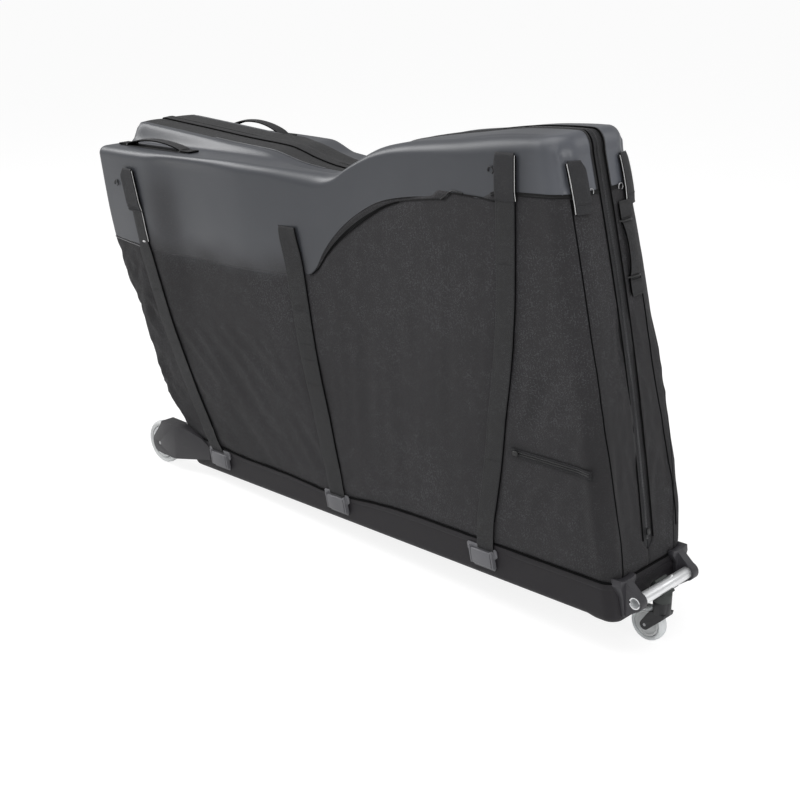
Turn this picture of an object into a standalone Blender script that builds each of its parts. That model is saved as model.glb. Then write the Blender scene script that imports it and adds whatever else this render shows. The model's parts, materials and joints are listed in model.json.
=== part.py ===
"""Bike travel bag with moulded top shells, a zipped soft body, rear rollers and a front caster.

The bag is drawn in its own frame: x runs from the roller end to the pull bar end, y across,
z up from the underside of the base. An empty then leans that frame until the rear rollers
and the caster both stand on the floor. All sizes are metres.
"""
import bmesh
import bpy
from math import asin, atan2, cos, hypot, pi, radians, sin
from mathutils import Matrix, Vector

# Base tray and the fold line above it
BASE_HALF = 0.110
BASE_LENGTH = 1.198
BASE_REAR_X = -0.548
BASE_FRONT_X = BASE_REAR_X + BASE_LENGTH
BAND_TOP = 0.071
FOLD_Z = 0.104
TRAY_WALL = 0.003
UNDERSIDE_ROUND = 0.012
BASE_CORNER = 0.028
REAR_CORNER = 0.030
FRONT_CORNER = 0.050
BODY_CORNER_Z = 0.300
BOARD_THICK = 0.006

# Upper body, as distances from the base ends and heights above the underside
REAR_OVERHANG = 0.130
FRONT_LEAN = 0.140
FRONT_BELLY = 0.014
WIDE_HALF = 0.187
NARROW_HALF = 0.102
SIDE_BELLY = 0.006
LEDGE_Z = 0.722
REAR_RIDGE_Z = 0.764
DIP_Z = 0.701
CREST_Z = 0.819
RIDGE_CROWN = 0.004
STEP_Y = 0.085
STEP_RUN = 0.022
SHOULDER_ROUND = 0.016
SHELL_REAR_Z = 0.528
SHELL_SIDE_Z = 0.505
SHELL_FRONT_Z = 0.724
SHELL_WALL = 0.003
PANEL_WALL = 0.004

# Main zip along the middle, and the woven strip beside it on the top
SEAM_GAP = 0.0006
ZIP_HALF = 0.014
ZIP_MEET = 0.0004
GUSSET_REAR_HALF = 0.064
GUSSET_DIP_HALF = 0.034
GUSSET_FRONT_HALF = 0.021

# Webbing
WEB_WIDTH = 0.046
WEB_THICK = 0.0025
WEB_GAP = 0.0009
STRAP_NAMES = ("rear", "middle", "front")
STRAP_FOOT_X = (BASE_REAR_X + 0.123, BASE_REAR_X + 0.508, BASE_FRONT_X - 0.294)
STRAP_TOP_X = (BASE_REAR_X - 0.012, BASE_REAR_X + 0.434, BASE_FRONT_X - 0.242)
STRAP_TOP_Z = (0.680, 0.600, 0.782)
END_TAB_WIDTH = 0.034
END_TAB_Y = NARROW_HALF - 0.036
END_TAB_FOOT_Z = 0.700
END_TAB_LENGTH = 0.075

# Strap buckles on the base band
BUCKLE_Z = 0.040
BUCKLE_WIDTH = 0.056
BUCKLE_HEIGHT = 0.042
BUCKLE_PLATE = 0.003
BUCKLE_EAR = 0.008
LEVER_PIN_RADIUS = 0.003
LEVER_PIN_DROP = 0.010
LEVER_LENGTH = 0.026
LEVER_THICK = 0.0026
LEVER_SIDE_GAP = 0.004

# Carry handles on the shells and the grab handle on the front end
HANDLE_WIDTH = 0.026
HANDLE_THICK = 0.004
HANDLE_Y = 0.134
HANDLE_REAR_X = BASE_REAR_X - 0.100
HANDLE_FRONT_X = BASE_REAR_X + 0.148
HANDLE_RISE = 0.018
GRAB_Y = 0.040
GRAB_TOP_Z = 0.694
GRAB_FOOT_Z = 0.528
GRAB_RISE = 0.016

# Rear rollers in their moulded housings
ROLLER_RADIUS = 0.050
ROLLER_WIDTH = 0.022
ROLLER_X = BASE_REAR_X - 0.070
ROLLER_Z = 0.037
ROLLER_Y = BASE_HALF + 0.010
ROLLER_SIDE_GAP = 0.0012
CHEEK_WALL = 0.0045
CHEEK_LOBE = 0.025
ROLLER_ROOM = 0.0035
AXLE_RADIUS = 0.004
AXLE_GAP = 0.0003
HOUSING_TOP_Z = 0.094
HOUSING_FRONT_X = BASE_REAR_X + 0.084
HOUSING_TOE = 0.026

# Pull bar and its brackets on the front end
BAR_X = BASE_FRONT_X + 0.0215
BAR_Z = 0.041
BAR_RADIUS = 0.011
BAR_WALL = 0.0018
BAR_HALF = BASE_HALF - 0.023
BAR_SLOT = 0.0045
BOSS_RADIUS = 0.0155
BOSS_WIDTH = 0.017
FLANGE_THICK = 0.006
FLANGE_INNER_Y = BASE_HALF - 0.054
FLANGE_OUTER_Y = BASE_HALF - 0.008
FLANGE_TOP_Z = 0.081
FLANGE_FOOT_Z = 0.010

# Caster that clips on the bar, measured from the bar's centre
CASTER_RADIUS = 0.034
CASTER_WIDTH = 0.022
CASTER_TRAIL = 0.024
CASTER_DROP = 0.080
CLIP_WIDTH = 0.034
CLIP_WALL = 0.0055
CLIP_GAP = 0.0004
CLIP_MOUTH_TURN = 40.0     # degrees: the way the clip's open side faces, up from straight ahead
CLIP_MOUTH = 0.004         # how far in front of the bar's axis the open side starts
CLIP_FOOT = 0.0275
CROWN_RADIUS = 0.0165
CROWN_FOOT = 0.052
KINGPIN_RADIUS = 0.0045
BLADE_THICK = 0.003
BLADE_GAP = 0.0014
BLADE_LOBE = 0.0095

# Pocket zip on the near side
POCKET_Z = 0.266
POCKET_REAR_X = BASE_FRONT_X - 0.222
POCKET_FRONT_X = BASE_FRONT_X - 0.080
POCKET_TAPE = 0.014
SLIDER_LENGTH = 0.012
SLIDER_WIDTH = 0.009
SLIDER_THICK = 0.004
SLIDER_LIFT = 0.0008
MAIN_SLIDER_Z = 0.135

# Frame rest inside
REST_LENGTH = 0.150
REST_WIDTH = 0.110
REST_HEIGHT = 0.090
REST_X = 0.020

# Stiffening rods inside the side walls
ROD_RADIUS = 0.004
ROD_X = 0.180
ROD_FOOT_Z = 0.112
ROD_TOP_Z = 0.640

CLEAR = 0.0003
ROUND_STEPS = 24
SIDE_COLUMNS = 25
CORNER_COLUMNS = 4
END_SHARES = (0.0, 0.14, 0.40)
END_COLUMNS = len(END_SHARES)

NEAR = -1
FAR = 1
SIDE_NAME = {NEAR: "near", FAR: "far"}


def smooth_curve(points):
    """Return a function that runs smoothly through the points and never overshoots them."""
    places = [p[0] for p in points]
    values = [p[1] for p in points]
    last = len(points) - 1
    runs = [places[i + 1] - places[i] for i in range(last)]
    climbs = [(values[i + 1] - values[i]) / runs[i] for i in range(last)]
    slopes = [climbs[0]]
    for i in range(1, last):
        before, after = climbs[i - 1], climbs[i]
        slopes.append(0.0 if before * after <= 0 else 2 * before * after / (before + after))
    slopes.append(climbs[-1])

    def value(place):
        place = min(max(place, places[0]), places[-1])
        i = 0
        while i < last - 1 and place > places[i + 1]:
            i += 1
        t = (place - places[i]) / runs[i]
        square, cube = t * t, t * t * t
        return ((2 * cube - 3 * square + 1) * values[i]
                + (cube - 2 * square + t) * runs[i] * slopes[i]
                + (3 * square - 2 * cube) * values[i + 1]
                + (cube - square) * runs[i] * slopes[i + 1])

    return value


def blend(a, b, t):
    return a + (b - a) * t


def ease(t):
    t = min(max(t, 0.0), 1.0)
    return t * t * (3 - 2 * t)


# Lean of the two ends, as a share of the overhang at a share of the height
rear_lean = smooth_curve([(0.0, -0.10), (0.09, 0.0), (0.13, 0.12), (0.19, 0.32), (0.47, 0.60),
                          (0.67, 0.95), (0.79, 0.995), (0.94, 0.985), (1.0, 0.96)])


def rear_x(z):
    return BASE_REAR_X - REAR_OVERHANG * rear_lean(z / REAR_RIDGE_Z)


def front_x(z):
    share = z / CREST_Z
    return BASE_FRONT_X - FRONT_LEAN * share + FRONT_BELLY * sin(pi * min(max(share, 0.0), 1.0))


middle_z = smooth_curve([(-0.68, REAR_RIDGE_Z), (-0.50, REAR_RIDGE_Z - 0.008),
                         (-0.25, REAR_RIDGE_Z - 0.028), (-0.105, DIP_Z + 0.005), (-0.06, DIP_Z),
                         (0.0, DIP_Z + 0.013), (0.05, DIP_Z + 0.040), (0.107, CREST_Z - 0.042),
                         (0.16, CREST_Z - 0.036), (0.277, CREST_Z - 0.019), (0.405, CREST_Z - 0.003),
                         (0.483, CREST_Z), (0.56, CREST_Z - 0.004)])
edge_z = smooth_curve([(-0.68, LEDGE_Z), (-0.30, LEDGE_Z), (-0.15, LEDGE_Z - 0.008),
                       (-0.06, DIP_Z + 0.010), (0.0, DIP_Z + 0.026), (0.056, DIP_Z + 0.052),
                       (0.13, CREST_Z - 0.039), (0.19, CREST_Z - 0.028), (0.28, CREST_Z - 0.022),
                       (0.38, CREST_Z - 0.019), (0.50, CREST_Z - 0.013)])
shoulder_half = smooth_curve([(-0.68, WIDE_HALF - 0.004), (-0.58, WIDE_HALF), (-0.46, WIDE_HALF),
                              (-0.36, WIDE_HALF - 0.008), (-0.24, WIDE_HALF - 0.025),
                              (-0.12, WIDE_HALF - 0.045), (0.0, NARROW_HALF + 0.021),
                              (0.10, NARROW_HALF + 0.013), (0.30, NARROW_HALF + 0.009),
                              (0.48, NARROW_HALF)])
gusset_half = smooth_curve([(-0.66, GUSSET_REAR_HALF), (-0.30, GUSSET_REAR_HALF),
                            (-0.16, GUSSET_REAR_HALF - 0.010), (-0.07, GUSSET_DIP_HALF),
                            (0.02, GUSSET_FRONT_HALF), (0.50, GUSSET_FRONT_HALF)])
shell_side_z = smooth_curve([(-0.70, SHELL_REAR_Z), (-0.60, SHELL_REAR_Z - 0.010),
                             (-0.45, SHELL_SIDE_Z), (-0.12, SHELL_SIDE_Z + 0.004),
                             (-0.065, SHELL_SIDE_Z + 0.010), (-0.046, SHELL_SIDE_Z + 0.027),
                             (-0.020, SHELL_SIDE_Z + 0.067), (0.010, SHELL_SIDE_Z + 0.101),
                             (0.050, SHELL_SIDE_Z + 0.133), (0.097, SHELL_SIDE_Z + 0.161),
                             (0.183, SHELL_FRONT_Z - 0.030), (0.296, SHELL_FRONT_Z - 0.008),
                             (0.350, SHELL_FRONT_Z - 0.012), (0.390, SHELL_FRONT_Z - 0.016),
                             (0.430, SHELL_FRONT_Z - 0.004), (0.56, SHELL_FRONT_Z)])


def top_z(x, y):
    """Height of the top: the middle ridge, a step down, and the ledge out to the shoulder."""
    share = ease((abs(y) - STEP_Y + STEP_RUN / 2) / STEP_RUN)
    ridge = middle_z(x) - RIDGE_CROWN * (y / STEP_Y) ** 2
    return blend(ridge, edge_z(x), share)


def half_width(x, z):
    """Half the bag's width at a place on its side."""
    share = min(max((z - FOLD_Z) / (edge_z(x) - FOLD_Z), 0.0), 1.0)
    return blend(BASE_HALF, shoulder_half(x), share) + SIDE_BELLY * sin(pi * share)


def corner_radius(z, body_radius):
    return blend(BASE_CORNER, body_radius, ease(z / BODY_CORNER_Z))


def end_face_x(y, z):
    """The front end's surface, with its rounded corners."""
    radius = corner_radius(z, FRONT_CORNER)
    beyond = abs(y) - (half_width(front_x(z) - radius, z) - radius)
    if beyond <= 0:
        return front_x(z)
    return front_x(z) - radius + (radius ** 2 - min(beyond, radius) ** 2) ** 0.5


def half_outline(z, inset=0.0, rear_y=0.0, front_y=0.0):
    """One half's plan outline at a height, from the rear end's middle round to the front's."""
    left = rear_x(z) + inset
    right = front_x(z) - inset
    rear_radius = max(corner_radius(z, REAR_CORNER) - inset, 0.006)
    front_radius = max(corner_radius(z, FRONT_CORNER) - inset, 0.006)
    first_x, last_x = left + rear_radius, right - front_radius
    half_left = half_width(first_x, z) - inset
    half_right = half_width(last_x, z) - inset
    points = []
    for share in END_SHARES:
        points.append((left, blend(rear_y, half_left - rear_radius, share)))
    for i in range(CORNER_COLUMNS):
        turn = pi / 2 * i / CORNER_COLUMNS
        points.append((first_x - rear_radius * cos(turn),
                       half_left - rear_radius + rear_radius * sin(turn)))
    for i in range(SIDE_COLUMNS):
        x = blend(first_x, last_x, i / (SIDE_COLUMNS - 1))
        points.append((x, half_width(x, z) - inset))
    for i in range(1, CORNER_COLUMNS + 1):
        turn = pi / 2 * i / CORNER_COLUMNS
        points.append((last_x + front_radius * sin(turn),
                       half_right - front_radius + front_radius * cos(turn)))
    for share in reversed(END_SHARES):
        points.append((right, blend(front_y, half_right - front_radius, share)))
    return points


def full_outline(z, inset=0.0):
    """The whole plan outline at a height, as a closed loop."""
    half = half_outline(z, inset)
    near = [(x, -y) for x, y in half]
    far = [(x, y) for x, y in reversed(half)]
    return near + far[1:-1]


# Scene, materials and objects
def clear_scene():
    for obj in list(bpy.data.objects):
        bpy.data.objects.remove(obj)


def new_collection(name):
    collection = bpy.data.collections.new(name)
    bpy.context.scene.collection.children.link(collection)
    return collection


def new_material(name, color, roughness, metallic=0.0):
    material = bpy.data.materials.new(name)
    material.use_nodes = True
    shader = material.node_tree.nodes["Principled BSDF"]
    shader.inputs["Base Color"].default_value = (*color, 1.0)
    shader.inputs["Roughness"].default_value = roughness
    shader.inputs["Metallic"].default_value = metallic
    return material


def new_empty(name, place, parent=None, own_frame=False):
    """An empty at a place in the frame its parent is drawn in. own_frame starts a new one."""
    empty = bpy.data.objects.new(name, None)
    empty.empty_display_size = 0.05
    empty.location = place
    if parent:
        empty.location -= Vector(parent["drawn_from"])
    empty.parent = parent
    empty["drawn_from"] = (0.0, 0.0, 0.0) if own_frame else place
    bag_parts.objects.link(empty)
    return empty


def new_object(name, mesh, material=None, carrier=None, cutter=False):
    """Put a mesh under the empty that carries it, in the frame it was drawn in."""
    obj = bpy.data.objects.new(name, mesh)
    obj.parent = carrier or bag_frame
    mesh.transform(Matrix.Translation(-Vector(obj.parent["drawn_from"])))
    (cutters if cutter else bag_parts).objects.link(obj)
    if cutter:
        obj.hide_render = True
        obj.display_type = 'WIRE'
    else:
        mesh.materials.append(material)
        mesh.shade_smooth()
        mesh.set_sharp_from_angle(angle=radians(32))
    return obj


def mesh_from_bmesh(name, bm):
    mesh = bpy.data.meshes.new(name)
    bm.to_mesh(mesh)
    bm.free()
    return mesh


def sheet_mesh(name, rows, closed=False, floor=False):
    """A skin through rows of points. Rows run along the piece and are stacked upwards."""
    bm = bmesh.new()
    grid = [[bm.verts.new(point) for point in row] for row in rows]
    wide = len(rows[0])
    for low, high in zip(grid, grid[1:]):
        for i in range(wide if closed else wide - 1):
            j = (i + 1) % wide
            bm.faces.new((low[i], low[j], high[j], high[i]))
    if floor:
        bm.faces.new(list(reversed(grid[0])))
    return mesh_from_bmesh(name, bm)


def thicken(obj, thickness, outward=False):
    solid = obj.modifiers.new("wall", 'SOLIDIFY')
    solid.thickness = thickness
    solid.offset = 1.0 if outward else -1.0
    return obj


def round_edges(obj, width, segments=2, angle=35):
    bevel = obj.modifiers.new("rounded edges", 'BEVEL')
    bevel.width = width
    bevel.segments = segments
    bevel.limit_method = 'ANGLE'
    bevel.angle_limit = radians(angle)
    return obj


def combine(obj, tool, operation):
    change = obj.modifiers.new(operation.lower(), 'BOOLEAN')
    change.operation = operation
    change.object = tool
    return obj


def box_mesh(name, low, high):
    bm = bmesh.new()
    bmesh.ops.create_cube(bm, size=1.0)
    size = Vector(high) - Vector(low)
    bmesh.ops.scale(bm, vec=size, verts=bm.verts)
    bmesh.ops.translate(bm, vec=(Vector(high) + Vector(low)) / 2, verts=bm.verts)
    return mesh_from_bmesh(name, bm)


def rod_mesh(name, start, end, radius, end_radius=None, steps=ROUND_STEPS):
    """A round bar between two points, or a cone where the end radius differs."""
    start, end = Vector(start), Vector(end)
    bm = bmesh.new()
    bmesh.ops.create_cone(bm, cap_ends=True, segments=steps, radius1=radius,
                          radius2=radius if end_radius is None else end_radius,
                          depth=(end - start).length)
    turn = Vector((0, 0, 1)).rotation_difference(end - start).to_matrix().to_4x4()
    bm.transform(Matrix.Translation((start + end) / 2) @ turn)
    return mesh_from_bmesh(name, bm)


def plate_mesh(name, outline, thickness, lay):
    """A flat outline with a thickness. lay turns the outline's plane to its place."""
    curve = bpy.data.curves.new(name, 'CURVE')
    curve.dimensions = '2D'
    curve.fill_mode = 'BOTH'
    curve.extrude = thickness / 2
    spline = curve.splines.new('POLY')
    spline.points.add(len(outline) - 1)
    for point, place in zip(spline.points, outline):
        point.co = (place[0], place[1], 0, 1)
    spline.use_cyclic_u = True
    holder = bpy.data.objects.new(name, curve)
    bag_parts.objects.link(holder)
    bpy.context.view_layer.update()
    depsgraph = bpy.context.evaluated_depsgraph_get()
    mesh = bpy.data.meshes.new_from_object(holder.evaluated_get(depsgraph))
    bpy.data.objects.remove(holder)
    bm = bmesh.new()
    bm.from_mesh(mesh)
    bmesh.ops.remove_doubles(bm, verts=bm.verts, dist=1e-5)
    bm.transform(lay)
    bmesh.ops.recalc_face_normals(bm, faces=bm.faces)
    if bm.calc_volume(signed=True) < 0:
        bmesh.ops.reverse_faces(bm, faces=bm.faces)
    bm.to_mesh(mesh)
    bm.free()
    return mesh


def arc(centre, radius, start, end, steps):
    """Points on an arc, angles in degrees."""
    turns = [radians(blend(start, end, i / steps)) for i in range(steps + 1)]
    return [(centre[0] + radius * cos(t), centre[1] + radius * sin(t)) for t in turns]


def upright(y):
    """Lay for an outline drawn in x and z, standing at a place across the bag."""
    return Matrix(((1, 0, 0, 0), (0, 0, 1, y), (0, 1, 0, 0), (0, 0, 0, 1)))


def facing_front(x):
    """Lay for an outline drawn in y and z, facing the front end."""
    return Matrix(((0, 0, 1, x), (1, 0, 0, 0), (0, 1, 0, 0), (0, 0, 0, 1)))


def facing_up(z):
    return Matrix.Translation((0, 0, z))


def turned_object(name, outline, centre, material, carrier, steps=ROUND_STEPS):
    """A closed outline of (radius, across) points turned about an axle that runs across."""
    bm = bmesh.new()
    points = [bm.verts.new((radius, 0, across)) for radius, across in outline]
    for i, point in enumerate(points):
        bm.edges.new((point, points[(i + 1) % len(points)]))
    obj = bpy.data.objects.new(name, mesh_from_bmesh(name, bm))
    bag_parts.objects.link(obj)
    obj.data.materials.append(material)
    obj.parent = carrier
    obj.rotation_euler = (pi / 2, 0, 0)
    obj.location = Vector(centre) - Vector(carrier["drawn_from"])
    turn = obj.modifiers.new("turned", 'SCREW')
    turn.steps = steps
    turn.render_steps = steps
    turn.use_merge_vertices = True
    turn.merge_threshold = 0.00005
    turn.use_smooth_shade = True
    return obj


# Base
def underside_levels():
    """Heights and insets of the rounded edge under the base."""
    return [(share * UNDERSIDE_ROUND, inset * UNDERSIDE_ROUND)
            for share, inset in ((0.0, 1.0), (0.3, 0.3), (1.0, 0.0))]


def make_base_tray():
    """Smooth coated band and underside, one tray open at the top."""
    levels = underside_levels() + [(BAND_TOP, 0.0)]
    rows = [[(x, y, z) for x, y in full_outline(z, inset)] for z, inset in levels]
    tray = new_object("base_tray", sheet_mesh("base_tray", rows, closed=True, floor=True), coated)
    return thicken(tray, TRAY_WALL)


def make_base_board():
    """Stiff board that lies in the tray."""
    foot = TRAY_WALL + CLEAR
    outline = full_outline(foot, UNDERSIDE_ROUND + TRAY_WALL)
    mesh = plate_mesh("base_board", outline, BOARD_THICK, facing_up(foot + BOARD_THICK / 2))
    return new_object("base_board", mesh, board)


def make_lower_skirt():
    """Woven strip between the band and the fold line, with the strap tails sewn on it."""
    foot = BAND_TOP + SEAM_GAP
    rows = [[(x, y, z) for x, y in full_outline(z)] for z in (foot, FOLD_Z)]
    skirt = new_object("lower_skirt", sheet_mesh("lower_skirt", rows, closed=True), woven)
    thicken(skirt, PANEL_WALL)
    for side in (NEAR, FAR):
        for i, x in enumerate(STRAP_FOOT_X):
            inner = BASE_HALF - PANEL_WALL / 2
            outer = BASE_HALF + WEB_GAP + WEB_THICK
            low = (x - WEB_WIDTH / 2, min(side * inner, side * outer), foot + 0.002)
            high = (x + WEB_WIDTH / 2, max(side * inner, side * outer), FOLD_Z - CLEAR)
            name = "tail_%s_%d" % (SIDE_NAME[side], i)
            combine(skirt, new_object(name, box_mesh(name, low, high), cutter=True), 'UNION')
    return skirt


def make_hull_cutter():
    """The base's outside with its clearance, to shape what hugs it."""
    grow = 2 * CLEAR
    rows = []
    for z, inset in underside_levels() + [(FOLD_Z, 0.0), (FOLD_Z + 0.02, 0.0)]:
        rows.append([(x, y, z - grow) for x, y in full_outline(z, inset - grow)])
    mesh = sheet_mesh("hull", rows, closed=True, floor=True)
    bm = bmesh.new()
    bm.from_mesh(mesh)
    bmesh.ops.contextual_create(bm, geom=[e for e in bm.edges if e.is_boundary])
    bmesh.ops.recalc_face_normals(bm, faces=bm.faces)
    bm.to_mesh(mesh)
    bm.free()
    return new_object("hull", mesh, cutter=True)


def make_frame_rest():
    """Foam rest for the frame, and the strap that holds a frame down on it."""
    floor = TRAY_WALL + BOARD_THICK + 2 * CLEAR
    top = floor + REST_HEIGHT
    half = REST_WIDTH / 2
    outline = [(-half, floor), (half, floor), (half * 0.8, top), (-half * 0.8, top)]
    mesh = plate_mesh("frame_rest", outline, REST_LENGTH, facing_front(REST_X))
    rest = round_edges(new_object("frame_rest", mesh, foam), 0.004)
    web = 0.025
    gap = 4 * CLEAR
    path = [(-half - gap, floor), (-half * 0.8 - gap, top + gap), (half * 0.8 + gap, top + gap),
            (half + gap, floor)]
    rows = [[(REST_X + end * web / 2, y, z) for y, z in path] for end in (1, -1)]
    strap = new_object("frame_strap", sheet_mesh("frame_strap", rows), webbing)
    thicken(strap, WEB_THICK, outward=True)
    return rest, strap


# Halves of the bag
def wall_grid(levels_at, rear_y, front_y):
    """Points up the wall. levels_at gives the heights of the rows over a place on the side."""
    reference = half_outline(SHELL_SIDE_Z, 0.0, rear_y, front_y)
    heights = [levels_at(x) for x, y in reference]
    rows = []
    for level in range(len(heights[0])):
        row = []
        for i in range(len(reference)):
            z = heights[i][level]
            x, y = half_outline(z, 0.0, rear_y, front_y)[i]
            row.append((x, y, z))
        rows.append(row)
    return rows


def panel_levels(x):
    low, high = FOLD_Z + CLEAR, shell_side_z(x) - SEAM_GAP
    steps = 6
    return [blend(low, high, i / steps) for i in range(steps + 1)]


def shell_wall_levels(x):
    low = shell_side_z(x)
    high = edge_z(x) - SHOULDER_ROUND
    steps = 4
    return [blend(low, high, i / steps) for i in range(steps + 1)]


def shell_grid():
    """The moulded shell from its lower edge, over the rounded shoulder, to the zip strip."""
    rear_y, front_y = GUSSET_REAR_HALF, GUSSET_FRONT_HALF
    rows = wall_grid(shell_wall_levels, rear_y, front_y)
    count = len(rows[0])
    rim = []
    for i in range(count):
        x, y, z = rows[-1][i]
        rim.append(half_outline(z, SHOULDER_ROUND, rear_y, front_y)[i])
    rim[0] = (rim[0][0], rear_y)
    rim[-1] = (rim[-1][0], front_y)
    tops = [top_z(x, y) for x, y in rim]
    arc_steps = 3
    for step in range(1, arc_steps + 1):
        turn = pi / 2 * step / arc_steps
        row = []
        for i in range(count):
            wall_x, wall_y, wall_z = rows[len(shell_wall_levels(0)) - 1][i]
            share = 1 - cos(turn)
            row.append((blend(wall_x, rim[i][0], share), blend(wall_y, rim[i][1], share),
                        blend(wall_z, tops[i], sin(turn))))
        rows.append(row)
    corner = END_COLUMNS + CORNER_COLUMNS
    run_in = 0.030
    start = rim[0][0] + run_in
    end = rim[-1][0] - run_in
    goals = []
    for i in range(count):
        if i < corner:
            x = blend(start, max(rim[corner][0], start + 0.02), i / corner)
        elif i >= count - corner:
            x = blend(min(rim[count - 1 - corner][0], end - 0.02), end,
                      (i - count + 1 + corner) / corner)
        else:
            x = min(max(rim[i][0], start + 0.02), end - 0.02)
        goals.append((x, gusset_half(x)))
    for share in (0.22, 0.45, 0.64, 0.73, 0.82, 0.90, 1.0):
        row = []
        for i in range(count):
            x = blend(rim[i][0], goals[i][0], share)
            y = blend(rim[i][1], goals[i][1], share)
            row.append((x, y, top_z(x, y)))
        rows.append(row)
    return rows


def inner_edge(rows):
    """The edge of a shell beside the zip strip, from the rear end over the top to the front."""
    rear = [row[0] for row in rows]
    front = [row[-1] for row in rows]
    return rear[:-1] + rows[-1] + list(reversed(front[:-1]))


def on_side(rows, side):
    """Rows drawn for the far half, turned to the half that is wanted, facing outwards."""
    placed = [[(x, side * y, z) for x, y, z in row] for row in rows]
    return placed if side == NEAR else [list(reversed(row)) for row in placed]


def skin(name, rows, side, material, carrier, wall):
    obj = new_object(name, sheet_mesh(name, on_side(rows, side)), material, carrier)
    return thicken(obj, wall)


def make_half(side, carrier):
    name = SIDE_NAME[side]
    panel = wall_grid(panel_levels, ZIP_HALF + SEAM_GAP, ZIP_HALF + SEAM_GAP)
    shell = shell_grid()
    skin("side_panel_" + name, panel, side, woven, carrier, PANEL_WALL)
    skin("top_shell_" + name, shell, side, moulded, carrier, SHELL_WALL)

    edge = inner_edge(shell)
    strip_outer = [(x, y - SEAM_GAP, z) for x, y, z in edge]
    strip_inner = []
    for x, y, z in edge:
        strip_inner.append((x, ZIP_HALF + SEAM_GAP, z))
    skin("top_strip_" + name, [strip_outer, strip_inner], side, woven, carrier, SHELL_WALL)

    below_rear = [row[0] for row in panel]
    below_front = [row[-1] for row in panel]
    path = below_rear[:-1] + strip_inner + list(reversed(below_front[:-1]))
    tape = [[(x, ZIP_HALF, z) for x, y, z in path], [(x, ZIP_MEET, z) for x, y, z in path]]
    skin("zip_tape_" + name, tape, side, zipper, carrier, SHELL_WALL)


def side_ribbon(name, path, width, side, carrier, lift=WEB_GAP):
    """Webbing that lies on the side of the bag along a path of (x, z) points."""
    rows = []
    for end in (-0.5, 0.0, 0.5):
        row = []
        for x, z in path:
            across = x + end * width
            row.append((across, half_width(across, z) + lift, z))
        rows.append(row)
    along = [list(line) for line in zip(*rows)]
    mesh = sheet_mesh(name, on_side(along, side))
    return thicken(new_object(name, mesh, webbing, carrier), WEB_THICK, outward=True)


# How far each strap has leant from its foot to its top, at a share of its height
STRAP_LEANS = (
    smooth_curve([(0.0, 0.0), (0.06, 0.24), (0.17, 0.46), (0.36, 0.69), (0.58, 0.85), (1.0, 1.0)]),
    smooth_curve([(0.0, 0.0), (0.21, 0.27), (0.44, 0.54), (0.69, 0.80), (1.0, 1.0)]),
    smooth_curve([(0.0, 0.0), (0.16, 0.38), (0.43, 0.84), (0.66, 1.05), (0.88, 1.01), (1.0, 1.0)]),
)


def make_straps(side, carrier):
    """Three compression straps, from the shell down to the fold above each buckle."""
    steps = 7
    for i, key in enumerate(STRAP_NAMES):
        path = []
        for step in range(steps + 1):
            share = step / steps
            path.append((blend(STRAP_FOOT_X[i], STRAP_TOP_X[i], STRAP_LEANS[i](share)),
                         blend(FOLD_Z + CLEAR, STRAP_TOP_Z[i], share)))
        side_ribbon("strap_%s_%s" % (key, SIDE_NAME[side]), path, WEB_WIDTH, side, carrier)


def end_ribbon(name, path, y, width, side, material, carrier, thick):
    """Webbing on the front end, along a path of (height, stand-off) points."""
    steps = 4
    rows = []
    for z, off in path:
        row = []
        for i in range(steps + 1):
            across = y + width * (0.5 - i / steps)
            row.append((end_face_x(across, z) + WEB_GAP + off, across, z))
        rows.append(row)
    mesh = sheet_mesh(name, on_side(rows, side))
    return thicken(new_object(name, mesh, material, carrier), thick, outward=True)


def make_corner_tab(side, carrier):
    """Short strap tab at the corner of the front end."""
    path = [(END_TAB_FOOT_Z + END_TAB_LENGTH * i / 3, 0.0) for i in range(4)]
    return end_ribbon("corner_tab_" + SIDE_NAME[side], path, END_TAB_Y, END_TAB_WIDTH, side,
                      webbing, carrier, WEB_THICK)


def arch(share):
    """Rise of a webbing handle: flat tabs at its ends and a bow between them."""
    tab = 0.12
    if share <= tab or share >= 1 - tab:
        return 0.0
    return sin(pi * (share - tab) / (1 - 2 * tab)) ** 0.7


def make_carry_handle(side, carrier):
    """Webbing handle on the ledge of the wide end."""
    name = "carry_handle_" + SIDE_NAME[side]
    steps = 12
    rows = []
    for i in range(steps + 1):
        share = i / steps
        x = blend(HANDLE_REAR_X, HANDLE_FRONT_X, share)
        z = top_z(x, HANDLE_Y) + WEB_GAP + HANDLE_RISE * arch(share)
        rows.append([(x, HANDLE_Y + HANDLE_WIDTH / 2, z), (x, HANDLE_Y - HANDLE_WIDTH / 2, z)])
    along = [list(line) for line in zip(*rows)]
    obj = new_object(name, sheet_mesh(name, on_side(along, side)), webbing, carrier)
    return thicken(obj, HANDLE_THICK, outward=True)


def make_grab_handle(carrier):
    """Upright grab handle beside the zip on the front end."""
    steps = 12
    path = []
    for i in range(steps + 1):
        share = i / steps
        path.append((blend(GRAB_FOOT_Z, GRAB_TOP_Z, share), GRAB_RISE * arch(share)))
    return end_ribbon("grab_handle", path, GRAB_Y, HANDLE_WIDTH, FAR, webbing, carrier,
                      HANDLE_THICK)


def make_rod(side, carrier):
    """Stiffening rod that stands inside the side wall."""
    name = "side_rod_" + SIDE_NAME[side]
    inside = PANEL_WALL + ROD_RADIUS + 2 * CLEAR
    foot = (ROD_X, side * (half_width(ROD_X, ROD_FOOT_Z) - inside), ROD_FOOT_Z)
    head = (ROD_X, side * (half_width(ROD_X, ROD_TOP_Z) - inside), ROD_TOP_Z)
    return new_object(name, rod_mesh(name, foot, head, ROD_RADIUS, steps=12), rod, carrier)


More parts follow.
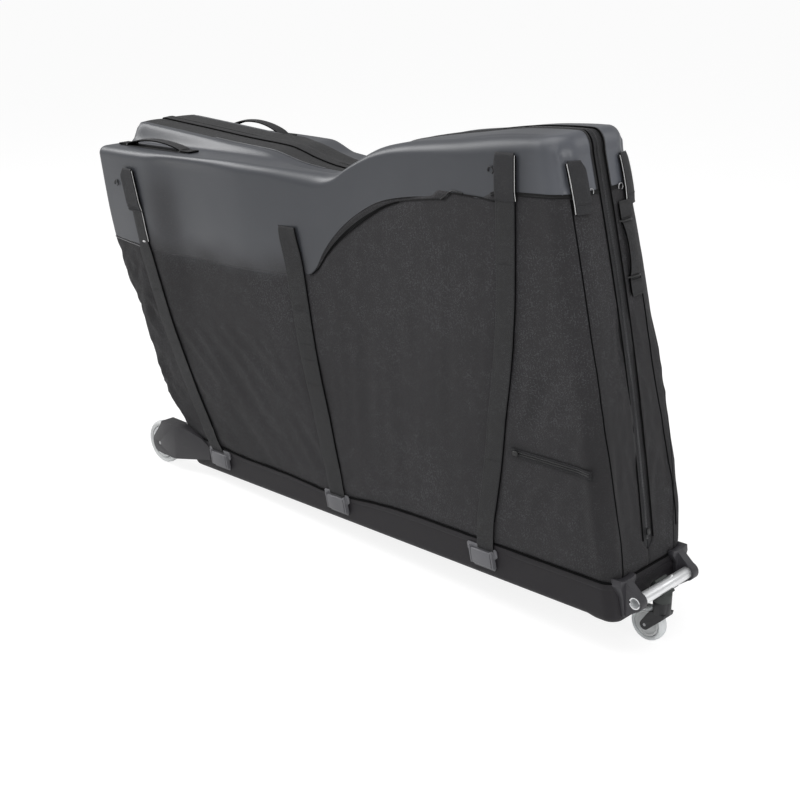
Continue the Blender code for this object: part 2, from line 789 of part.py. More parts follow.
def make_pocket(carrier):
    """Zip of the small outside pocket."""
    steps = 4
    rows = []
    for z in (POCKET_Z - POCKET_TAPE / 2, POCKET_Z + POCKET_TAPE / 2):
        row = []
        for i in range(steps + 1):
            x = blend(POCKET_REAR_X, POCKET_FRONT_X, i / steps)
            row.append((x, half_width(x, z) + WEB_GAP, z))
        rows.append(row)
    tape = new_object("pocket_zip", sheet_mesh("pocket_zip", on_side(rows, NEAR)), zipper, carrier)
    thicken(tape, 0.0015, outward=True)
    return tape


def make_slider(name, low, high, carrier):
    """Zip slider, a small rounded block that rides on the teeth."""
    slider = new_object(name, box_mesh(name, low, high), steel, carrier)
    return round_edges(slider, 0.0012, 1)


# Strap buckles
def make_buckle(side, place, x, lever_carrier):
    """Plate with two riveted ears on the band, and the lever that clamps the strap."""
    key = "%s_%s" % (place, SIDE_NAME[side])
    low, high = BUCKLE_Z - BUCKLE_HEIGHT / 2, BUCKLE_Z + BUCKLE_HEIGHT / 2
    half = BUCKLE_WIDTH / 2
    wide = half + BUCKLE_EAR
    outline = [(x - half * 0.88, low), (x + half * 0.88, low), (x + half, low + 0.006),
               (x + half, high - 0.020), (x + wide, high - 0.014), (x + wide, high - 0.003),
               (x + wide - 0.003, high), (x - wide + 0.003, high), (x - wide, high - 0.003),
               (x - wide, high - 0.014), (x - half, high - 0.020), (x - half, low + 0.006)]
    back = BASE_HALF + CLEAR
    lay = upright(side * (back + BUCKLE_PLATE / 2))
    plate = new_object("buckle_plate_" + key,
                       plate_mesh("buckle_plate_" + key, outline, BUCKLE_PLATE, lay), buckle)
    pin_z = high - LEVER_PIN_DROP
    pin_y = back + BUCKLE_PLATE + CLEAR + LEVER_PIN_RADIUS
    cheek = LEVER_SIDE_GAP - 0.0006
    for end in (-1, 1):
        inner = x + end * (half - cheek)
        outer = x + end * half
        reach = pin_y + LEVER_PIN_RADIUS
        front, rear = max(inner, outer), min(inner, outer)
        near_y, far_y = sorted((side * (back + BUCKLE_PLATE / 2), side * reach))
        lug = "lug_%s_%d" % (key, end)
        mesh = box_mesh(lug, (rear, near_y, low + 0.006), (front, far_y, high - 0.004))
        combine(plate, new_object(lug, mesh, cutter=True), 'UNION')
    return make_lever(side, key, x, pin_y, pin_z, lever_carrier)


def make_lever(side, key, x, pin_y, pin_z, carrier):
    """Lever with a bevelled head round its pin and a flat cover down to its lip."""
    radius = LEVER_PIN_RADIUS - CLEAR / 2
    foot = pin_z - LEVER_LENGTH
    outer = pin_y + radius
    head = arc((pin_y, pin_z), radius, 180, 0, 5)
    cover = [(outer + 0.0006, pin_z - 0.007), (outer + 0.0006, foot + 0.002), (outer - 0.0006, foot),
             (outer + 0.0006 - LEVER_THICK, foot), (outer + 0.0006 - LEVER_THICK, pin_z - 0.008),
             (pin_y - radius, pin_z - 0.003)]
    outline = [(side * y, z) for y, z in head + cover]
    width = BUCKLE_WIDTH - 2 * LEVER_SIDE_GAP
    mesh = plate_mesh("lever_" + key, outline, width, facing_front(x))
    return new_object("lever_" + key, mesh, buckle, carrier)


# Rear rollers
def make_roller(side, carrier):
    """Moulded wheel with its own hub, and the soft tread round it."""
    name = SIDE_NAME[side]
    centre = (ROLLER_X, side * ROLLER_Y, ROLLER_Z)
    half = ROLLER_WIDTH / 2
    bore = AXLE_RADIUS + AXLE_GAP
    rim = ROLLER_RADIUS - 0.012
    hub = [(rim - 0.002, half * 0.75), (rim, half * 0.4), (rim, -half * 0.4),
           (rim - 0.002, -half * 0.75), (rim - 0.006, -half * 0.75), (rim - 0.009, -half * 0.3),
           (0.016, -half * 0.3), (0.011, -half), (bore, -half), (bore, half), (0.011, half),
           (0.016, half * 0.3), (rim - 0.009, half * 0.3), (rim - 0.006, half * 0.75)]
    turned_object("roller_hub_" + name, hub, centre, hub_white, carrier, 20)
    seat = rim + CLEAR
    tread = [(ROLLER_RADIUS - 0.005, half), (ROLLER_RADIUS - 0.001, half * 0.6),
             (ROLLER_RADIUS, 0.0), (ROLLER_RADIUS - 0.001, -half * 0.6),
             (ROLLER_RADIUS - 0.005, -half), (seat, -half * 0.8), (seat, half * 0.8)]
    turned_object("roller_tread_" + name, tread, centre, tread_grey, carrier, 28)


def make_housing(side, hull):
    """Moulded housing that hugs the base's rear corner and holds the roller between cheeks."""
    name = SIDE_NAME[side]
    inner = ROLLER_Y - ROLLER_WIDTH / 2 - ROLLER_SIDE_GAP
    outer = ROLLER_Y + ROLLER_WIDTH / 2 + ROLLER_SIDE_GAP
    back, face = inner - CHEEK_WALL, outer + CHEEK_WALL
    lobe = arc((ROLLER_X, ROLLER_Z), CHEEK_LOBE, 245, 125, 6)
    reach = HOUSING_FRONT_X - ROLLER_X
    top_and_foot = ((0.05, 0.89), (0.09, 1.0), (0.52, 0.98), (0.70, 0.88), (0.86, 0.77),
                    (1.0, 0.57), (1.0, 0.26), (0.68, 0.19), (0.32, 0.12))
    outline = lobe + [(ROLLER_X + reach * along, HOUSING_TOP_Z * up) for along, up in top_and_foot]
    middle = (back + face) / 2
    mesh = plate_mesh("roller_housing_" + name, outline, face - back, upright(side * middle))
    housing = new_object("roller_housing_" + name, mesh, moulded)
    crease = ROLLER_X + reach * 0.39
    wedge_outline = [(crease, side * (face + 0.0004)),
                     (HOUSING_FRONT_X - 0.002, side * (face - HOUSING_TOE)),
                     (HOUSING_FRONT_X + 0.01, side * (face - HOUSING_TOE)),
                     (HOUSING_FRONT_X + 0.01, side * (face + 0.01)), (crease, side * (face + 0.01))]
    wedge = plate_mesh("housing_taper_" + name, wedge_outline, 0.2, facing_up(0.05))
    combine(housing, new_object("housing_taper_" + name, wedge, cutter=True), 'DIFFERENCE')
    room = rod_mesh("roller_room_" + name, (ROLLER_X, side * inner, ROLLER_Z),
                    (ROLLER_X, side * outer, ROLLER_Z), ROLLER_RADIUS + ROLLER_ROOM, steps=32)
    combine(housing, new_object("roller_room_" + name, room, cutter=True), 'DIFFERENCE')
    hole = rod_mesh("axle_hole_" + name, (ROLLER_X, side * (back - 0.01), ROLLER_Z),
                    (ROLLER_X, side * (face + 0.01), ROLLER_Z), AXLE_RADIUS + AXLE_GAP, steps=16)
    combine(housing, new_object("axle_hole_" + name, hole, cutter=True), 'DIFFERENCE')
    combine(housing, hull, 'DIFFERENCE')
    axle = rod_mesh("roller_axle_" + name, (ROLLER_X, side * back, ROLLER_Z),
                    (ROLLER_X, side * face, ROLLER_Z), AXLE_RADIUS, steps=16)
    new_object("roller_axle_" + name, axle, steel)
    return housing


# Pull bar
def make_bracket(side, hull):
    """Bracket moulded as one: a flange with two ears, an arm, and the boss that grips the bar."""
    name = SIDE_NAME[side]
    seat = front_x(0.0)
    boss_y = BAR_HALF - BOSS_WIDTH / 2
    arm_outline = (arc((BAR_X, BAR_Z), BOSS_RADIUS, -75, 75, 8)
                   + [(seat + 0.002, FLANGE_TOP_Z - 0.004), (seat - 0.012, FLANGE_TOP_Z - 0.006),
                      (seat - 0.012, FLANGE_FOOT_Z), (seat + 0.004, FLANGE_FOOT_Z)])
    bracket = new_object("bar_bracket_" + name,
                         plate_mesh("bar_bracket_" + name, arm_outline, BOSS_WIDTH,
                                    upright(side * boss_y)), bracket_grey)
    inner, outer = FLANGE_INNER_Y, FLANGE_OUTER_Y
    flange_outline = [(side * y, z) for y, z in (
        (inner + 0.014, FLANGE_FOOT_Z), (outer - 0.012, FLANGE_FOOT_Z),
        (outer - 0.009, FLANGE_TOP_Z - 0.034), (outer, FLANGE_TOP_Z - 0.012),
        (outer - 0.002, FLANGE_TOP_Z), (outer - 0.012, FLANGE_TOP_Z - 0.003),
        (inner + 0.011, FLANGE_TOP_Z - 0.003), (inner + 0.002, FLANGE_TOP_Z),
        (inner, FLANGE_TOP_Z - 0.009), (inner + 0.011, FLANGE_TOP_Z - 0.024))]
    deep = 0.024
    flange = plate_mesh("flange_" + name, flange_outline, deep,
                        facing_front(seat - deep / 2 + FLANGE_THICK / 2))
    combine(bracket, new_object("flange_" + name, flange, cutter=True), 'UNION')
    combine(bracket, hull, 'DIFFERENCE')
    bore = rod_mesh("bar_bore_" + name, (BAR_X, side * (BAR_HALF - BOSS_WIDTH - 0.01), BAR_Z),
                    (BAR_X, side * (BAR_HALF + 0.01), BAR_Z), BAR_RADIUS + CLEAR)
    combine(bracket, new_object("bar_bore_" + name, bore, cutter=True), 'DIFFERENCE')
    return bracket


def make_pull_bar():
    """Aluminium tube with a slot across each end and a small stud on top."""
    bar = new_object("pull_bar", rod_mesh("pull_bar", (BAR_X, -BAR_HALF, BAR_Z),
                                          (BAR_X, BAR_HALF, BAR_Z), BAR_RADIUS), aluminium)
    bore = rod_mesh("bar_inside", (BAR_X, -BAR_HALF - 0.01, BAR_Z),
                    (BAR_X, BAR_HALF + 0.01, BAR_Z), BAR_RADIUS - BAR_WALL)
    combine(bar, new_object("bar_inside", bore, cutter=True), 'DIFFERENCE')
    reach = 0.003
    for side in (NEAR, FAR):
        ends = sorted((side * (BAR_HALF - reach), side * (BAR_HALF + reach)))
        name = "bar_slot_" + SIDE_NAME[side]
        slot = box_mesh(name, (BAR_X - 0.02, ends[0], BAR_Z - BAR_SLOT / 2),
                        (BAR_X + 0.02, ends[1], BAR_Z + BAR_SLOT / 2))
        combine(bar, new_object(name, slot, cutter=True), 'DIFFERENCE')
    stud = rod_mesh("bar_stud", (BAR_X, 0.024, BAR_Z + BAR_RADIUS - 0.001),
                    (BAR_X, 0.024, BAR_Z + BAR_RADIUS + 0.0025), 0.0022, steps=8)
    combine(bar, new_object("bar_stud", stud, cutter=True), 'UNION')
    return bar


# Caster, drawn about the bar's centre with z upright
def make_caster_clip(carrier):
    """Open clip that holds the bar from below and behind and carries the kingpin."""
    outside = BAR_RADIUS + CLIP_WALL
    half = CLIP_WIDTH / 2
    clip = new_object("caster_clip", rod_mesh("caster_clip", (0, -half, 0), (0, half, 0), outside),
                      clip_grey, carrier)
    body = rod_mesh("clip_body", (0, 0, -CLIP_FOOT), (0, 0, -BAR_RADIUS / 2), CROWN_RADIUS,
                    outside, steps=20)
    combine(clip, new_object("clip_body", body, carrier=carrier, cutter=True), 'UNION')
    pin = rod_mesh("kingpin", (0, 0, -CLIP_FOOT - 0.009), (0, 0, -CLIP_FOOT + 0.002),
                   KINGPIN_RADIUS, steps=12)
    combine(clip, new_object("kingpin", pin, carrier=carrier, cutter=True), 'UNION')
    bore = rod_mesh("clip_bore", (0, -half - 0.01, 0), (0, half + 0.01, 0),
                    BAR_RADIUS + CLIP_GAP)
    combine(clip, new_object("clip_bore", bore, carrier=carrier, cutter=True), 'DIFFERENCE')
    turn = radians(CLIP_MOUTH_TURN)
    reach = 2 * outside
    corners = ((CLIP_MOUTH, -reach), (CLIP_MOUTH + reach, -reach), (CLIP_MOUTH + reach, reach),
               (CLIP_MOUTH, reach))
    outline = [(cos(turn) * ahead - sin(turn) * up, sin(turn) * ahead + cos(turn) * up)
               for ahead, up in corners]
    mouth = plate_mesh("clip_mouth", outline, CLIP_WIDTH + 0.02, upright(0))
    combine(clip, new_object("clip_mouth", mouth, carrier=carrier, cutter=True), 'DIFFERENCE')
    return clip


def make_caster_fork(carrier):
    """Round crown with two blades that trail to the axle, the roller's slot cut between."""
    top = -CLIP_FOOT - CLEAR
    axle = (-CASTER_TRAIL, -CASTER_DROP)
    fork = new_object("caster_fork",
                      rod_mesh("caster_fork", (0, 0, -CROWN_FOOT), (0, 0, top), CROWN_RADIUS,
                               steps=20), fork_black, carrier)
    outside = CASTER_WIDTH / 2 + BLADE_GAP + BLADE_THICK
    blade_top = -CROWN_FOOT + 0.004
    outline = (arc(axle, BLADE_LOBE, 150, 320, 7)
               + [(CROWN_RADIUS * 0.8, -CROWN_FOOT - 0.004), (CROWN_RADIUS * 0.9, blade_top),
                  (-CROWN_RADIUS * 0.9, blade_top)])
    blades = plate_mesh("blades", outline, 2 * outside, upright(0))
    combine(fork, new_object("blades", blades, carrier=carrier, cutter=True), 'UNION')
    room = rod_mesh("wheel_room", (axle[0], -outside + BLADE_THICK, axle[1]),
                    (axle[0], outside - BLADE_THICK, axle[1]), CASTER_RADIUS + 0.003, steps=32)
    combine(fork, new_object("wheel_room", room, carrier=carrier, cutter=True), 'DIFFERENCE')
    socket = rod_mesh("kingpin_socket", (0, 0, -CLIP_FOOT - 0.010), (0, 0, 0),
                      KINGPIN_RADIUS + CLEAR, steps=12)
    combine(fork, new_object("kingpin_socket", socket, carrier=carrier, cutter=True), 'DIFFERENCE')
    hole = rod_mesh("caster_axle_hole", (axle[0], -0.03, axle[1]), (axle[0], 0.03, axle[1]),
                    AXLE_RADIUS * 0.75 + CLEAR, steps=12)
    combine(fork, new_object("caster_axle_hole", hole, carrier=carrier, cutter=True), 'DIFFERENCE')
    pin = rod_mesh("caster_axle", (axle[0], -outside, axle[1]), (axle[0], outside, axle[1]),
                   AXLE_RADIUS * 0.75, steps=12)
    new_object("caster_axle", pin, steel, carrier)
    return fork


def make_caster_wheel(carrier):
    half = CASTER_WIDTH / 2
    bore = AXLE_RADIUS * 0.75 + AXLE_GAP
    rim = CASTER_RADIUS - 0.009
    hub = [(rim - 0.001, half * 0.8), (rim, half * 0.5), (rim, -half * 0.5), (rim - 0.001, -half * 0.8),
           (rim - 0.004, -half * 0.8), (rim - 0.006, -half * 0.45), (0.010, -half * 0.45),
           (0.008, -half), (bore, -half), (bore, half), (0.008, half), (0.010, half * 0.45),
           (rim - 0.006, half * 0.45), (rim - 0.004, half * 0.8)]
    centre = (-CASTER_TRAIL, 0, -CASTER_DROP)
    turned_object("caster_hub", hub, centre, hub_white, carrier, 20)
    seat = rim + CLEAR
    tread = [(CASTER_RADIUS - 0.005, half), (CASTER_RADIUS - 0.001, half * 0.6), (CASTER_RADIUS, 0.0),
             (CASTER_RADIUS - 0.001, -half * 0.6), (CASTER_RADIUS - 0.005, -half),
             (seat, -half * 0.85), (seat, half * 0.85)]
    turned_object("caster_tread", tread, centre, tread_grey, carrier, 24)


def stand_on_floor():
    """Lean the bag's frame so the rollers and the caster share a floor, then centre it."""
    rise = CASTER_DROP + CASTER_RADIUS - ROLLER_RADIUS
    run, climb = BAR_X - ROLLER_X, BAR_Z - ROLLER_Z
    lean = asin(rise / hypot(run, climb)) - atan2(climb, run)
    bag_frame.rotation_euler = (0, -lean, 0)
    roller_height = ROLLER_X * sin(lean) + ROLLER_Z * cos(lean)
    bag_frame.location.z = ROLLER_RADIUS - roller_height
    caster_mount.rotation_euler = (0, lean, 0)
    bpy.context.view_layer.update()
    depsgraph = bpy.context.evaluated_depsgraph_get()
    reach = []
    for obj in bag_parts.objects:
        if obj.type == 'MESH':
            mesh = obj.evaluated_get(depsgraph).to_mesh()
            reach += [obj.matrix_world @ v.co for v in mesh.vertices]
    bag_frame.location.x -= (min(p.x for p in reach) + max(p.x for p in reach)) / 2
    bag_frame.location.z -= min(p.z for p in reach)
    bpy.context.view_layer.update()


clear_scene()
bag_parts = new_collection("bike_travel_bag")
cutters = new_collection("cutters")

moulded = new_material("moulded_shell", (0.085, 0.087, 0.095), 0.38)
woven = new_material("woven_fabric", (0.028, 0.028, 0.030), 0.85)
coated = new_material("coated_band", (0.022, 0.021, 0.023), 0.55)
webbing = new_material("webbing", (0.020, 0.020, 0.021), 0.8)
zipper = new_material("zip", (0.018, 0.017, 0.020), 0.6)
buckle = new_material("buckle_plastic", (0.12, 0.12, 0.13), 0.4)
bracket_grey = new_material("bracket_plastic", (0.060, 0.060, 0.064), 0.45)
clip_grey = new_material("clip_plastic", (0.050, 0.054, 0.052), 0.45)
fork_black = new_material("fork_plastic", (0.020, 0.020, 0.021), 0.45)
aluminium = new_material("aluminium", (0.80, 0.80, 0.82), 0.28, 1.0)
steel = new_material("steel", (0.45, 0.45, 0.46), 0.35, 1.0)
hub_white = new_material("hub_plastic", (0.75, 0.76, 0.76), 0.35)
tread_grey = new_material("soft_tread", (0.42, 0.45, 0.44), 0.5)
board = new_material("base_board", (0.05, 0.05, 0.05), 0.7)
foam = new_material("foam", (0.06, 0.06, 0.065), 0.9)
rod = new_material("glass_rod", (0.30, 0.30, 0.28), 0.5)

bag_frame = new_empty("bag_frame", (0, 0, 0))
caster_mount = new_empty("caster_mount", (BAR_X, 0, BAR_Z), bag_frame, own_frame=True)
caster_swivel = new_empty("caster_swivel", (0, 0, 0), caster_mount)
caster_spin = new_empty("caster_spin", (-CASTER_TRAIL, 0, -CASTER_DROP), caster_swivel)

make_base_tray()
make_base_board()
make_lower_skirt()
make_frame_rest()
hull_cutter = make_hull_cutter()

FOLD_Y = BASE_HALF + WEB_GAP + WEB_THICK + 0.006
for half_side in (NEAR, FAR):
    half_key = SIDE_NAME[half_side]
    fold = new_empty("fold_" + half_key, (0, half_side * FOLD_Y, FOLD_Z), bag_frame)
    make_half(half_side, fold)
    make_straps(half_side, fold)
    make_corner_tab(half_side, fold)
    make_carry_handle(half_side, fold)
    make_rod(half_side, fold)
    spin = new_empty("roller_spin_" + half_key, (ROLLER_X, half_side * ROLLER_Y, ROLLER_Z), bag_frame)
    make_roller(half_side, spin)
    make_housing(half_side, hull_cutter)
    make_bracket(half_side, hull_cutter)
    for buckle_key, buckle_x in zip(STRAP_NAMES, STRAP_FOOT_X):
        hinge = new_empty("lever_hinge_%s_%s" % (buckle_key, half_key),
                          (buckle_x, half_side * (BASE_HALF + CLEAR * 2 + BUCKLE_PLATE + LEVER_PIN_RADIUS),
                           BUCKLE_Z + BUCKLE_HEIGHT / 2 - LEVER_PIN_DROP), bag_frame)
        make_buckle(half_side, buckle_key, buckle_x, hinge)

make_grab_handle(bpy.data.objects["fold_far"])
make_pocket(bpy.data.objects["fold_near"])

pocket_face = -half_width(POCKET_REAR_X, POCKET_Z) - WEB_GAP - 0.0015 - SLIDER_LIFT
pocket_start = (POCKET_REAR_X + 0.002, pocket_face, POCKET_Z)
pocket_slide = new_empty("pocket_slide", pocket_start, bpy.data.objects["fold_near"])
make_slider("pocket_slider", (pocket_start[0], pocket_face - SLIDER_THICK, POCKET_Z - SLIDER_WIDTH / 2),
            (pocket_start[0] + SLIDER_LENGTH, pocket_face, POCKET_Z + SLIDER_WIDTH / 2), pocket_slide)
main_start = (front_x(MAIN_SLIDER_Z) + SLIDER_LIFT, 0.0, MAIN_SLIDER_Z)
main_slide = new_empty("main_slide", main_start, bpy.data.objects["fold_far"])
main_slide.rotation_euler = (0, atan2(front_x(MAIN_SLIDER_Z + 0.01) - front_x(MAIN_SLIDER_Z), 0.01), 0)
make_slider("main_slider", (main_start[0], -SLIDER_WIDTH / 2, MAIN_SLIDER_Z - SLIDER_LENGTH / 2),
            (main_start[0] + SLIDER_THICK, SLIDER_WIDTH / 2, MAIN_SLIDER_Z + SLIDER_LENGTH / 2),
            main_slide)
make_pull_bar()
make_caster_clip(caster_mount)
make_caster_fork(caster_swivel)
make_caster_wheel(caster_spin)
stand_on_floor()
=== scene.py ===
import bmesh, bpy, json, math
from mathutils import Matrix, Vector, noise
import numpy as np

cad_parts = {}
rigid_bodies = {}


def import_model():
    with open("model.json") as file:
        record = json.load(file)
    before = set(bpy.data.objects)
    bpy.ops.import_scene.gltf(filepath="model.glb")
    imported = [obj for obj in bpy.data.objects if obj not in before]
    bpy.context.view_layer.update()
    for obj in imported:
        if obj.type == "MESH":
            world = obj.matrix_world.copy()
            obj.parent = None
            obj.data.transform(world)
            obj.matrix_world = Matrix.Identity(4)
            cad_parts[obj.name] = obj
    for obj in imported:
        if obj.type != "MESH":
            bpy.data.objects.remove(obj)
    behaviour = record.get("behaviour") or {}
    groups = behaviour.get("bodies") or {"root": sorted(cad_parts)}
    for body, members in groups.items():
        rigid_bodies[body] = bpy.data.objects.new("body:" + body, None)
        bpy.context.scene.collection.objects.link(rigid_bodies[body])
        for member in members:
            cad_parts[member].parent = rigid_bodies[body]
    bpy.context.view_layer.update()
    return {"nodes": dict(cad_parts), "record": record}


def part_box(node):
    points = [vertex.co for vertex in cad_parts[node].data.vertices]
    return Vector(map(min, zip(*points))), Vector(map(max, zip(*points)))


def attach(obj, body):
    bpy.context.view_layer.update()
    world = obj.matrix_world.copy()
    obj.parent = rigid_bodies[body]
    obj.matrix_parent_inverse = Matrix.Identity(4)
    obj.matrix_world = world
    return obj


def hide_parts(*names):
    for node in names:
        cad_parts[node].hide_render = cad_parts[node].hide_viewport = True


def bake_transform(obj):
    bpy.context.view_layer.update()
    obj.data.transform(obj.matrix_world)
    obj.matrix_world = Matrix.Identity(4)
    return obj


for starter in list(bpy.data.objects):      # an empty file, whatever Blender opened with
    bpy.data.objects.remove(starter)
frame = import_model()
nodes = frame["nodes"]
print("frame loaded:", len(nodes), "pieces")

near, far = -1, 1
sideName = {near: "near", far: "far"}
halfOf = {near: "near_half", far: "far_half"}


# Small sums
def mix(a, b, t):
    return a + (b - a) * t


def clamp(t):
    return min(max(t, 0.0), 1.0)


def ease(t):
    t = clamp(t)
    return t * t * (3 - 2 * t)


def steps(first, last, count):     # evenly spaced, both ends among them
    return [mix(first, last, i / count) for i in range(count + 1)]


def hill(place, middle, width):     # a soft hill, 1 at its middle
    return math.exp(-((place - middle) / width) ** 2)


def between(value, low, high, soft):     # 1 inside a stretch, falling off softly outside it
    return ease((value - low) / soft + 0.5) * ease((high - value) / soft + 0.5)


def smoothCurve(points):
    # runs through the points and never overshoots them
    places = [p[0] for p in points]
    values = [p[1] for p in points]
    last = len(points) - 1
    runs = [places[i + 1] - places[i] for i in range(last)]
    climbs = [(values[i + 1] - values[i]) / runs[i] for i in range(last)]
    slopes = [climbs[0]]
    for before, after in zip(climbs, climbs[1:]):
        slopes.append(0.0 if before * after <= 0 else 2 * before * after / (before + after))
    slopes.append(climbs[-1])

    def value(place):
        place = min(max(place, places[0]), places[-1])
        i = 0
        while i < last - 1 and place > places[i + 1]:
            i += 1
        t = (place - places[i]) / runs[i]
        square, cube = t * t, t * t * t
        return ((2 * cube - 3 * square + 1) * values[i] + (cube - 2 * square + t) * runs[i] * slopes[i]
                + (3 * square - 2 * cube) * values[i + 1] + (cube - square) * runs[i] * slopes[i + 1])
    return value


# The bag's own shape, drawn upright: x from the roller end to the bar end, z up from its underside
bag = dict(
    baseHalf=0.110, baseRearX=-0.548, baseFrontX=0.650, bandTop=0.071, foldZ=0.104,
    undersideRound=0.012, baseCorner=0.028, rearCorner=0.017, frontCorner=0.050, bodyCornerZ=0.300,
    cornerFromZ=0.120, leastCorner=0.006,
    rearOverhang=0.134, frontLean=0.140, frontBelly=0.014, rearRidgeZ=0.764, crestZ=0.819,
    sideBelly=0.006, ridgeCrown=0.004, stepY=0.085, stepRun=0.022,
    shellSideZ=0.505, zipHalf=0.014, seamGap=0.0001, rollerX=-0.618, rollerZ=0.037, barX=0.6715,
    barZ=0.041, barRadius=0.011)
bendLow, bendHigh = 0.098, 0.118     # the cloth bends between these heights when a half opens
columns = dict(end=12, corner=24, side=132)
endColumns = columns["end"] + columns["corner"]
columnCount = 2 * endColumns + columns["side"]

# Its lines: rearLean by the share of the height, the others by x
rearLean = smoothCurve([(0.0, -0.10), (0.09, 0.0), (0.13, 0.12), (0.19, 0.32), (0.47, 0.60),
                        (0.67, 0.95), (0.79, 0.995), (0.94, 0.985), (1.0, 0.96)])
middleZ = smoothCurve([(-0.68, 0.764), (-0.50, 0.752), (-0.36, 0.742), (-0.24, 0.735),
                       (-0.158, 0.716), (-0.105, 0.706), (-0.06, 0.702), (0.0, 0.709),
                       (0.05, 0.733), (0.107, 0.770), (0.16, 0.782),
                       (0.277, 0.800), (0.405, 0.816), (0.483, 0.819), (0.56, 0.815)])
edgeZ = smoothCurve([(-0.68, 0.722), (-0.30, 0.722), (-0.15, 0.716), (-0.09, 0.7125), (-0.03, 0.7105),
                     (0.012, 0.720), (0.058, 0.748), (0.090, 0.764), (0.132, 0.779), (0.19, 0.791),
                     (0.28, 0.797), (0.38, 0.800), (0.50, 0.806)])
shoulderHalf = smoothCurve([(-0.68, 0.186), (-0.58, 0.190), (-0.46, 0.189), (-0.36, 0.180),
                            (-0.24, 0.162), (-0.12, 0.142), (0.0, 0.123), (0.10, 0.115),
                            (0.30, 0.110), (0.48, 0.098)])
gussetHalf = smoothCurve([(-0.66, 0.064), (-0.30, 0.064), (-0.16, 0.054), (-0.07, 0.034),
                          (0.02, 0.021), (0.50, 0.021)])
shellEdgeZ = smoothCurve([(-0.70, 0.528), (-0.60, 0.518), (-0.45, 0.505), (-0.12, 0.509),
                          (-0.065, 0.516), (-0.046, 0.530), (-0.020, 0.564), (0.010, 0.595),
                          (0.050, 0.627), (0.097, 0.655), (0.140, 0.674), (0.183, 0.685),
                          (0.240, 0.694), (0.278, 0.698), (0.296, 0.710), (0.350, 0.709),
                          (0.390, 0.705), (0.430, 0.720), (0.56, 0.724)])
shoulderRound = smoothCurve([(-0.70, 0.016), (-0.16, 0.016), (-0.02, 0.026), (0.10, 0.030), (0.40, 0.028),
                             (0.52, 0.022)])
seamZ = smoothCurve([(-0.56, 0.071), (-0.46, 0.069), (-0.413, 0.0655), (-0.342, 0.060), (-0.20, 0.059),
                     (-0.14, 0.056), (-0.08, 0.053), (0.0, 0.058), (0.07, 0.0655), (0.136, 0.0695),
                     (0.20, 0.071), (0.66, 0.071)])     # where the cloth meets the band


def rearX(z):
    return bag["baseRearX"] - bag["rearOverhang"] * rearLean(z / bag["rearRidgeZ"])


def frontX(z):
    share = z / bag["crestZ"]
    return bag["baseFrontX"] - bag["frontLean"] * share + bag["frontBelly"] * math.sin(math.pi * clamp(share))


def topZ(x, y):
    share = ease((abs(y) - bag["stepY"] + bag["stepRun"] / 2) / bag["stepRun"])
    ridge = middleZ(x) - bag["ridgeCrown"] * (y / bag["stepY"]) ** 2
    return mix(ridge, edgeZ(x), share)


def halfWidth(x, z):
    share = clamp((z - bag["foldZ"]) / (edgeZ(x) - bag["foldZ"]))
    return mix(bag["baseHalf"], shoulderHalf(x), share) + bag["sideBelly"] * math.sin(math.pi * share)


def cornerRadius(z, bodyRadius):
    # the front corners stay full low down
    start = bag["cornerFromZ"] if bodyRadius > bag["baseCorner"] else 0.0
    return mix(bag["baseCorner"], bodyRadius, ease((z - start) / bag["bodyCornerZ"]))


def frontFaceX(y, z):
    radius = cornerRadius(z, bag["frontCorner"])
    beyond = abs(y) - (halfWidth(frontX(z) - radius, z) - radius)
    if beyond <= 0:
        return frontX(z)
    return frontX(z) - radius + (radius ** 2 - min(beyond, radius) ** 2) ** 0.5


def wallPoint(column, z, inset=0.0, rearY=0.0, frontY=0.0):
    # one column of the wall at a height, from the rear end's middle round the side to the front's
    left, right = rearX(z) + inset, frontX(z) - inset
    rearRadius, frontRadius = (max(cornerRadius(z, bag[which]) - inset, bag["leastCorner"])
                               for which in ("rearCorner", "frontCorner"))
    firstX, lastX = left + rearRadius, right - frontRadius
    if column < endColumns:
        half = halfWidth(firstX, z) - inset
        if column < columns["end"]:
            return left, mix(rearY, half - rearRadius, column / columns["end"])
        turn = math.pi / 2 * (column - columns["end"]) / columns["corner"]
        return firstX - rearRadius * math.cos(turn), half - rearRadius + rearRadius * math.sin(turn)
    if column < endColumns + columns["side"]:
        x = mix(firstX, lastX, (column - endColumns) / (columns["side"] - 1))
        return x, halfWidth(x, z) - inset
    half = halfWidth(lastX, z) - inset
    column -= endColumns + columns["side"]
    if column < columns["corner"]:
        turn = math.pi / 2 * (column + 1) / columns["corner"]
        return lastX + frontRadius * math.sin(turn), half - frontRadius + frontRadius * math.cos(turn)
    share = 1 - (column - columns["corner"] + 1) / columns["end"]
    return right, mix(frontY, half - frontRadius, share)


def placeBag():
    # the rollers and the pull bar say how the bag leans and where it stands
    rollerBox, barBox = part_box("roller_tread_near"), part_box("pull_bar")
    roller = (rollerBox[0] + rollerBox[1]) / 2
    bar = (barBox[0] + barBox[1]) / 2
    bar.z = barBox[0].z + bag["barRadius"]
    drawn = math.atan2(bag["barZ"] - bag["rollerZ"], bag["barX"] - bag["rollerX"])
    real = math.atan2(bar.z - roller.z, bar.x - roller.x)
    return (Matrix.Translation((roller.x, 0, roller.z)) @ Matrix.Rotation(drawn - real, 4, 'Y')
            @ Matrix.Translation((-bag["rollerX"], 0, -bag["rollerZ"])))


bagToWorld = placeBag()
bagTurn = bagToWorld.to_3x3()


def toWorld(point, side=1):
    return bagToWorld @ Vector((point[0], side * point[1], point[2]))


def toWorldWay(way, side=1):
    return bagTurn @ Vector((way[0], side * way[1], way[2]))


